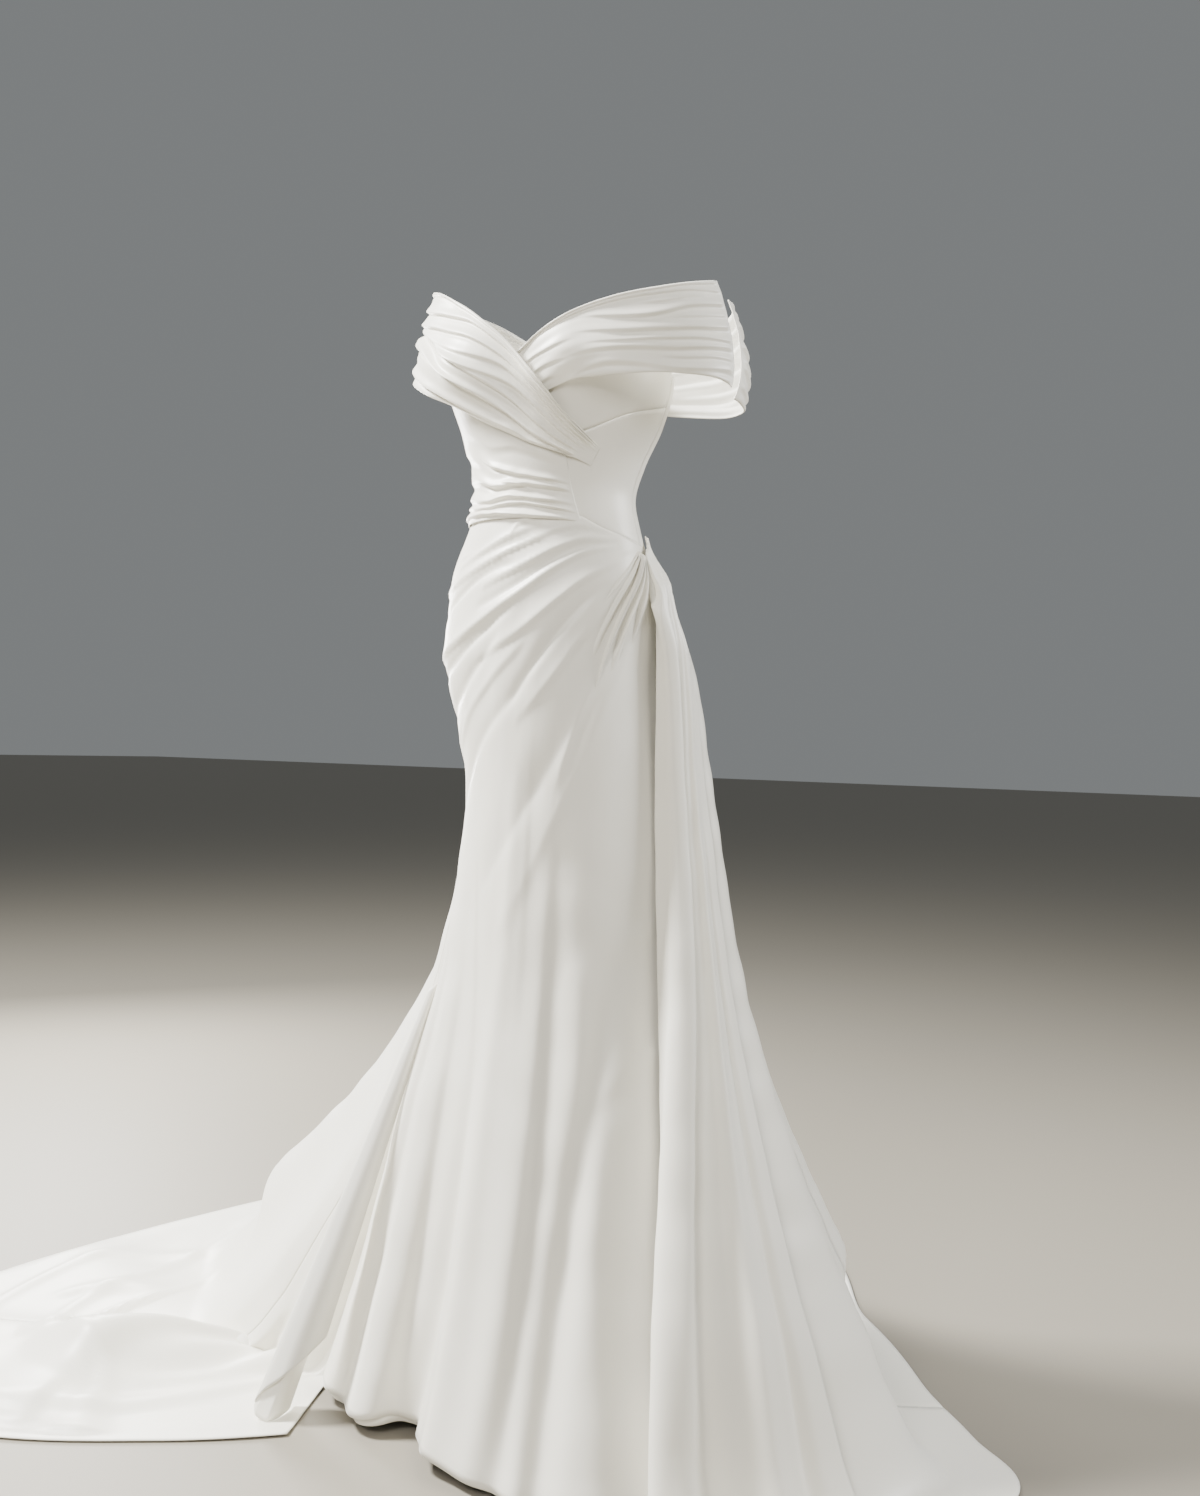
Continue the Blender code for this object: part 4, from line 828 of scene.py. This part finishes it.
def satin_weave():
    """Group: long satin floats across fine warp threads, as a height."""
    group, cloth, give = new_group("Satin weave", ["Height"])
    floats = noise(group, cloth, FLOATS_SCALE, 1.0)
    warp = noise(group, cloth, WARP_SCALE, 0.0)
    height = maths(group, "ADD", maths(group, "MULTIPLY", floats, FLOATS_SHARE),
                   maths(group, "MULTIPLY", warp, 1 - FLOATS_SHARE))
    group.links.new(height, give.inputs["Height"])
    return group


def crush_and_shade_patches():
    """Group: soft crush of handled cloth as a height, and random patches as a mask for painted
    shade.
    """
    group, cloth, give = new_group("Cloth crush and painted shade", ["Crush", "Painted shade share"])
    crush = noise(group, cloth, CRUSH_SCALE, 2.5)
    shade_share = noise(group, cloth, SHADE_PATCH_SCALE, 1.5)
    group.links.new(crush, give.inputs["Crush"])
    group.links.new(shade_share, give.inputs["Painted shade share"])
    return group


def use_group(tree, group, vector):
    """Places a group on the piece's own cloth coordinates."""
    node = tree.nodes.new("ShaderNodeGroup")
    node.node_tree = group
    tree.links.new(vector, node.inputs["Cloth"])
    return node


def bump(tree, height, strength, depth):
    """Bump node on a height, in metres."""
    node = tree.nodes.new("ShaderNodeBump")
    node.inputs["Strength"].default_value = strength
    node.inputs["Distance"].default_value = depth
    tree.links.new(height, node.inputs["Height"])
    return node


def cloth_material(name, colour, shade, weave, crush_and_shade, rough, sheen, crush):
    """Satin or lining cloth: weave and crush as bumps, painted shade mixed in at random patches,
    and sheen.
    """
    material = bpy.data.materials.new(name)
    material.use_nodes = True
    tree = material.node_tree
    shader = tree.nodes["Principled BSDF"]
    cloth = tree.nodes.new("ShaderNodeUVMap")
    cloth.uv_map = "Cloth"
    threads = use_group(tree, weave, cloth.outputs["UV"]).outputs["Height"]
    crush_and_shade_node = use_group(tree, crush_and_shade, cloth.outputs["UV"])
    # Painted shade: the second colour is a warmer shade colour, mixed into the base colour in
    # random patches.
    blend = tree.nodes.new("ShaderNodeMix")
    blend.data_type = "RGBA"
    blend.inputs["A"].default_value = (*colour, 1.0)
    blend.inputs["B"].default_value = (*shade, 1.0)
    tree.links.new(crush_and_shade_node.outputs["Painted shade share"], blend.inputs["Factor"])
    tree.links.new(blend.outputs["Result"], shader.inputs["Base Color"])
    glints = maths(tree, "MULTIPLY", threads, THREAD_GLOSS)
    gloss = maths(tree, "ADD", glints, rough - THREAD_GLOSS / 2)
    tree.links.new(gloss, shader.inputs["Roughness"])
    shader.inputs["Sheen Weight"].default_value = sheen
    shader.inputs["Sheen Roughness"].default_value = SHEEN_ROUGHNESS
    shader.inputs["Specular IOR Level"].default_value = SHINE
    soft = bump(tree, crush_and_shade_node.outputs["Crush"], crush, CRUSH_DEPTH)
    fine = bump(tree, threads, THREAD_RELIEF, THREAD_DEPTH)
    tree.links.new(soft.outputs["Normal"], fine.inputs["Normal"])
    tree.links.new(fine.outputs["Normal"], shader.inputs["Normal"])
    return material


def cloth_materials():
    """The two cloths, made once from the dress's settings."""
    if SATIN not in bpy.data.materials:
        look = bpy.context.scene.dress_look
        weave = satin_weave()
        crush_and_shade = crush_and_shade_patches()
        # The satin gets its painted shade colour; the lining's second colour is its own colour
        # again.
        cloth_material(SATIN, look.satin, look.satin_painted_shade, weave, crush_and_shade,
                       look.roughness, look.sheen, SATIN_CRUSH)
        cloth_material(LINING, look.lining, look.lining, weave, crush_and_shade,
                       LINING_ROUGHNESS, LINING_SHEEN, LINING_CRUSH)
    return bpy.data.materials[SATIN], bpy.data.materials[LINING]


def cloth_mesh(name, grid):
    """Mesh of a grid of points, with coordinates in metres along the cloth as its UV map."""
    columns, rows = grid.shape[0] - 1, grid.shape[1] - 1
    mesh = bpy.data.meshes.new(name)
    shape = bmesh.new()
    bmesh.ops.create_grid(shape, x_segments=columns, y_segments=rows, size=1.0)
    shape.to_mesh(mesh)
    shape.free()
    square = np.empty(len(mesh.vertices) * 3)
    mesh.vertices.foreach_get("co", square)
    square = square.reshape(-1, 3)
    i = np.rint((square[:, 0] + 1) / 2 * columns).astype(int)
    j = np.rint((square[:, 1] + 1) / 2 * rows).astype(int)
    mesh.vertices.foreach_set("co", grid[i, j].ravel())
    steps_along = np.linalg.norm(np.diff(grid, axis=0), axis=-1).mean(1)
    steps_up = np.linalg.norm(np.diff(grid, axis=1), axis=-1).mean(0)
    along = np.concatenate([[0], np.cumsum(steps_along)])
    up = np.concatenate([[0], np.cumsum(steps_up)])
    corners = np.empty(len(mesh.loops), int)
    mesh.loops.foreach_get("vertex_index", corners)
    on_cloth = np.stack([along[i[corners]], up[j[corners]]], -1)
    mesh.uv_layers.new(name="Cloth").data.foreach_set("uv", on_cloth.ravel())
    mesh.shade_smooth()
    mesh.update()
    return mesh


def cloth(name, grid, upwards=True):
    """A grid of points as one sheet of satin with its lining side, in place of its solid."""
    mesh = cloth_mesh(name, grid if upwards else grid[:, ::-1])
    for material in cloth_materials():
        mesh.materials.append(material)
    piece = bpy.data.objects.new(name, mesh)
    bpy.context.scene.collection.objects.link(piece)
    wall = piece.modifiers.new("wall", "SOLIDIFY")
    wall.thickness = bpy.context.scene.dress_look.thickness
    wall.offset = -1
    wall.material_offset = 1
    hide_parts(name)
    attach(piece, ROOT)


class DressLook(bpy.types.PropertyGroup):
    """Colours and cloth of the dress."""
    satin: bpy.props.FloatVectorProperty(
        name="Satin", description="Colour of the satin", subtype="COLOR", size=3,
        min=0, max=1, default=(0.91, 0.885, 0.81))
    # Painted shade: a warmer shade colour of the satin, mixed in at random patches.
    satin_painted_shade: bpy.props.FloatVectorProperty(
        name="Satin painted shade", description="Warmer painted shade colour, mixed into the satin in random patches", subtype="COLOR",
        size=3, min=0, max=1, default=(0.86, 0.83, 0.73))
    lining: bpy.props.FloatVectorProperty(
        name="Lining", description="Colour of the lining side", subtype="COLOR", size=3,
        min=0, max=1, default=(0.80, 0.78, 0.71))
    roughness: bpy.props.FloatProperty(
        name="Roughness", description="How dull the satin is", min=0.1, max=1, default=0.40)
    sheen: bpy.props.FloatProperty(
        name="Sheen", description="Soft shine at grazing angles", min=0, max=1, default=0.25)
    thickness: bpy.props.FloatProperty(
        name="Cloth thickness", description="Satin and lining together", unit="LENGTH",
        min=0.0005, max=0.002, default=0.0014)
    wrinkle: bpy.props.FloatProperty(
        name="Wrinkle", description="Height of the skirt's uneven wrinkles", unit="LENGTH",
        min=0, max=0.004, default=0.0012)


class DressStage(bpy.types.PropertyGroup):
    """Camera and light of the stage."""
    floor: bpy.props.FloatVectorProperty(
        name="Floor", description="Colour of the floor", subtype="COLOR", size=3,
        min=0, max=1, default=(0.27, 0.245, 0.20))
    backdrop: bpy.props.FloatVectorProperty(
        name="Backdrop", description="Colour of the light all round", subtype="COLOR", size=3,
        min=0, max=1, default=(0.60, 0.63, 0.64))
    camera_height: bpy.props.FloatProperty(
        name="Camera height", description="Above the floor", unit="LENGTH", default=0.855)
    camera_distance: bpy.props.FloatProperty(
        name="Camera distance", description="From the dress's axis", unit="LENGTH", default=1.85)
    camera_turn: bpy.props.FloatProperty(
        name="Camera turn", description="Round the dress", subtype="ANGLE",
        default=math.radians(27.0))
    camera_shift: bpy.props.FloatProperty(
        name="Camera shift", description="To the right of the dress's axis", unit="LENGTH",
        default=0.075)
    camera_roll: bpy.props.FloatProperty(
        name="Camera roll", description="Lean of the picture", subtype="ANGLE",
        default=math.radians(1.7))


class DRESS_OT_bodice(bpy.types.Operator):
    """Smooth foundation panels of the bodice"""
    bl_idname = "dress.bodice"
    bl_label = "Bodice panels"

    def execute(self, context):
        under_cup = cup_seam(np.linspace(CUP_START, LEFT_SIDE, 13)) - CUP_GAP
        for name, (start, end, columns, rows) in BODICE_PANELS.items():
            bottom = cup_seam if name == "cup_left" else above_skirt
            tops = BODICE_TOPS.get(name, under_cup)
            cloth(name, bodice_grid(start, end, bottom, tops, columns, rows))
        return {"FINISHED"}


class DRESS_OT_wraps(bpy.types.Operator):
    """Pleated wraps that cross on the bodice and run round the arms"""
    bl_idname = "dress.wraps"
    bl_label = "Crossed wraps and arm bands"

    def execute(self, context):
        for name in ("wrap_right", "wrap_left", "sleeve_left", "sleeve_right"):
            cloth(name, wrap_grid(*BANDS[name]))
        return {"FINISHED"}


class DRESS_OT_waist(bpy.types.Operator):
    """Gathered cloth round the midriff"""
    bl_idname = "dress.waist"
    bl_label = "Waist drape"

    def execute(self, context):
        cloth("waist_drape", wrap_grid(*BANDS["waist_drape"]))
        return {"FINISHED"}


class DRESS_OT_front(bpy.types.Operator):
    """Front skirt panel with its hip drape, the hip pleats and the strip of the under layer"""
    bl_idname = "dress.front"
    bl_label = "Front skirt"

    def execute(self, context):
        across, down = places(*FRONT_COUNTS)
        down = down * (HIP_CROWDING + (1 - HIP_CROWDING) * down)
        folds = ((HIP_FOLDS, CRISP), (SKIRT_FOLDS, SOFT))
        grid = panel_grid(FRONT, folds, FRONT_PLAN, across, down, context.scene.dress_look.wrinkle)
        cloth("skirt_front", grid, upwards=False)
        cloth("hip_fan", fan_grid(*FAN_COUNTS), upwards=False)
        cloth("underskirt_hem", underskirt_grid(*UNDERSKIRT_COUNTS), upwards=False)
        return {"FINISHED"}


class DRESS_OT_back(bpy.types.Operator):
    """Back skirt panels that run out into the train, and its turned-over corner"""
    bl_idname = "dress.back"
    bl_label = "Back skirt and train"

    def execute(self, context):
        steps = [0.0]
        for start, end, columns in BACK_GORES.values():
            steps.extend(np.linspace(start, end, columns + 1)[1:])
        across, down = np.meshgrid(steps, np.linspace(0, 1, BACK_ROWS + 1), indexing="ij")
        seams = [end for start, end, columns in BACK_GORES.values()][:-1]
        grid = panel_grid(BACK, ((BACK_FOLDS, SOFT),), BACK_PLAN, across, down,
                          TRAIN_WRINKLE * context.scene.dress_look.wrinkle, seams=seams)
        first = 0
        for name, (start, end, columns) in BACK_GORES.items():
            cloth(name, grid[first:first + columns + 1], upwards=False)
            first += columns
        cloth("train_fold", train_fold_grid(*TRAIN_FOLD_COUNTS))
        return {"FINISHED"}


class DRESS_OT_overskirt(bpy.types.Operator):
    """Side panel that falls from the left hip to the floor"""
    bl_idname = "dress.overskirt"
    bl_label = "Left side panel"

    def execute(self, context):
        across, down = places(*OVERSKIRT_COUNTS)
        grid = panel_grid(OVERSKIRT, ((OVERSKIRT_FOLDS, SOFT),), OVERSKIRT_PLAN, across, down,
                          context.scene.dress_look.wrinkle, OVERSKIRT_LIFT,
                          puff=overskirt_puff(across, down))
        cloth("overskirt_left", grid, upwards=False)
        return {"FINISHED"}


class DRESS_OT_stage(bpy.types.Operator):
    """Pale floor, soft lights and the camera"""
    bl_idname = "dress.stage"
    bl_label = "Floor, light and camera"

    def execute(self, context):
        stage = context.scene.dress_stage
        self.floor(stage)
        self.lights(context, stage)
        self.camera(context, stage)
        return {"FINISHED"}

    def floor(self, stage):
        """Wide plain floor just under the train."""
        mesh = bpy.data.meshes.new("floor")
        shape = bmesh.new()
        bmesh.ops.create_grid(shape, x_segments=1, y_segments=1, size=FLOOR_SIZE)
        bmesh.ops.translate(shape, vec=(0, 0, -WAIST_HEIGHT - FLOOR_GAP), verts=shape.verts)
        shape.to_mesh(mesh)
        shape.free()
        floor = bpy.data.objects.new("floor", mesh)
        bpy.context.scene.collection.objects.link(floor)
        material = bpy.data.materials.new("floor")
        material.use_nodes = True
        shader = material.node_tree.nodes["Principled BSDF"]
        shader.inputs["Base Color"].default_value = (*stage.floor, 1.0)
        shader.inputs["Roughness"].default_value = FLOOR_ROUGHNESS
        mesh.materials.append(material)

    def lights(self, context, stage):
        """Large soft lights above and to the front, and an even glow all round."""
        world = bpy.data.worlds.new("glow")
        world.use_nodes = True
        glow = world.node_tree.nodes["Background"]
        glow.inputs["Color"].default_value = (*stage.backdrop, 1.0)
        glow.inputs["Strength"].default_value = GLOW
        context.scene.world = world
        for name, (at, towards, size, power, colour) in LAMPS.items():
            light = bpy.data.lights.new(name, "AREA")
            light.size = size
            light.energy = power
            light.color = colour
            lamp = bpy.data.objects.new(name, light)
            aim = (Vector(towards) - Vector(at)).to_track_quat("-Z", "Y")
            lamp.matrix_world = Matrix.Translation(at) @ aim.to_matrix().to_4x4()
            context.scene.collection.objects.link(lamp)

    def camera(self, context, stage):
        """Level camera, turned round the dress and rolled a little."""
        turn = stage.camera_turn
        ahead = Vector((-math.sin(turn), math.cos(turn), 0))
        right = Vector((math.cos(turn), math.sin(turn), 0))
        eye = -ahead * stage.camera_distance + right * stage.camera_shift
        eye.z = stage.camera_height - WAIST_HEIGHT
        lens = bpy.data.cameras.new("camera")
        lens.sensor_fit = "VERTICAL"
        lens.sensor_height = SENSOR_HEIGHT
        lens.lens = SENSOR_HEIGHT * FOCAL_PIXELS / PICTURE_HEIGHT
        camera = bpy.data.objects.new("camera", lens)
        look = ahead.to_track_quat("-Z", "Y").to_matrix().to_4x4()
        roll = Matrix.Rotation(stage.camera_roll, 4, "Z")
        camera.matrix_world = Matrix.Translation(eye) @ look @ roll
        context.scene.collection.objects.link(camera)
        context.scene.camera = camera


class DRESS_PT_dress(bpy.types.Panel):
    """Lists the dress's settings and pieces."""
    bl_label = "Wedding dress"
    bl_space_type = "VIEW_3D"
    bl_region_type = "UI"
    bl_category = "Dress"

    def draw(self, context):
        for settings in (context.scene.dress_look, context.scene.dress_stage):
            for name in settings.__annotations__:
                self.layout.prop(settings, name)
        for maker in MAKERS:
            self.layout.operator(maker.bl_idname)


MAKERS = (DRESS_OT_bodice, DRESS_OT_wraps, DRESS_OT_waist, DRESS_OT_front, DRESS_OT_back,
          DRESS_OT_overskirt, DRESS_OT_stage)


def register():
    """Adds the settings, operators and panel."""
    for kind in (DressLook, DressStage, *MAKERS, DRESS_PT_dress):
        bpy.utils.register_class(kind)
    bpy.types.Scene.dress_look = bpy.props.PointerProperty(type=DressLook)
    bpy.types.Scene.dress_stage = bpy.props.PointerProperty(type=DressStage)


def unregister():
    """Takes the settings, operators and panel away."""
    del bpy.types.Scene.dress_stage
    del bpy.types.Scene.dress_look
    for kind in (DRESS_PT_dress, *reversed(MAKERS), DressStage, DressLook):
        bpy.utils.unregister_class(kind)


def main():
    """Makes the dress and its stage."""
    register()
    bpy.ops.dress.bodice()
    bpy.ops.dress.wraps()
    bpy.ops.dress.waist()
    bpy.ops.dress.front()
    bpy.ops.dress.back()
    bpy.ops.dress.overskirt()
    bpy.ops.dress.stage()


if __name__ == "__main__":
    main()
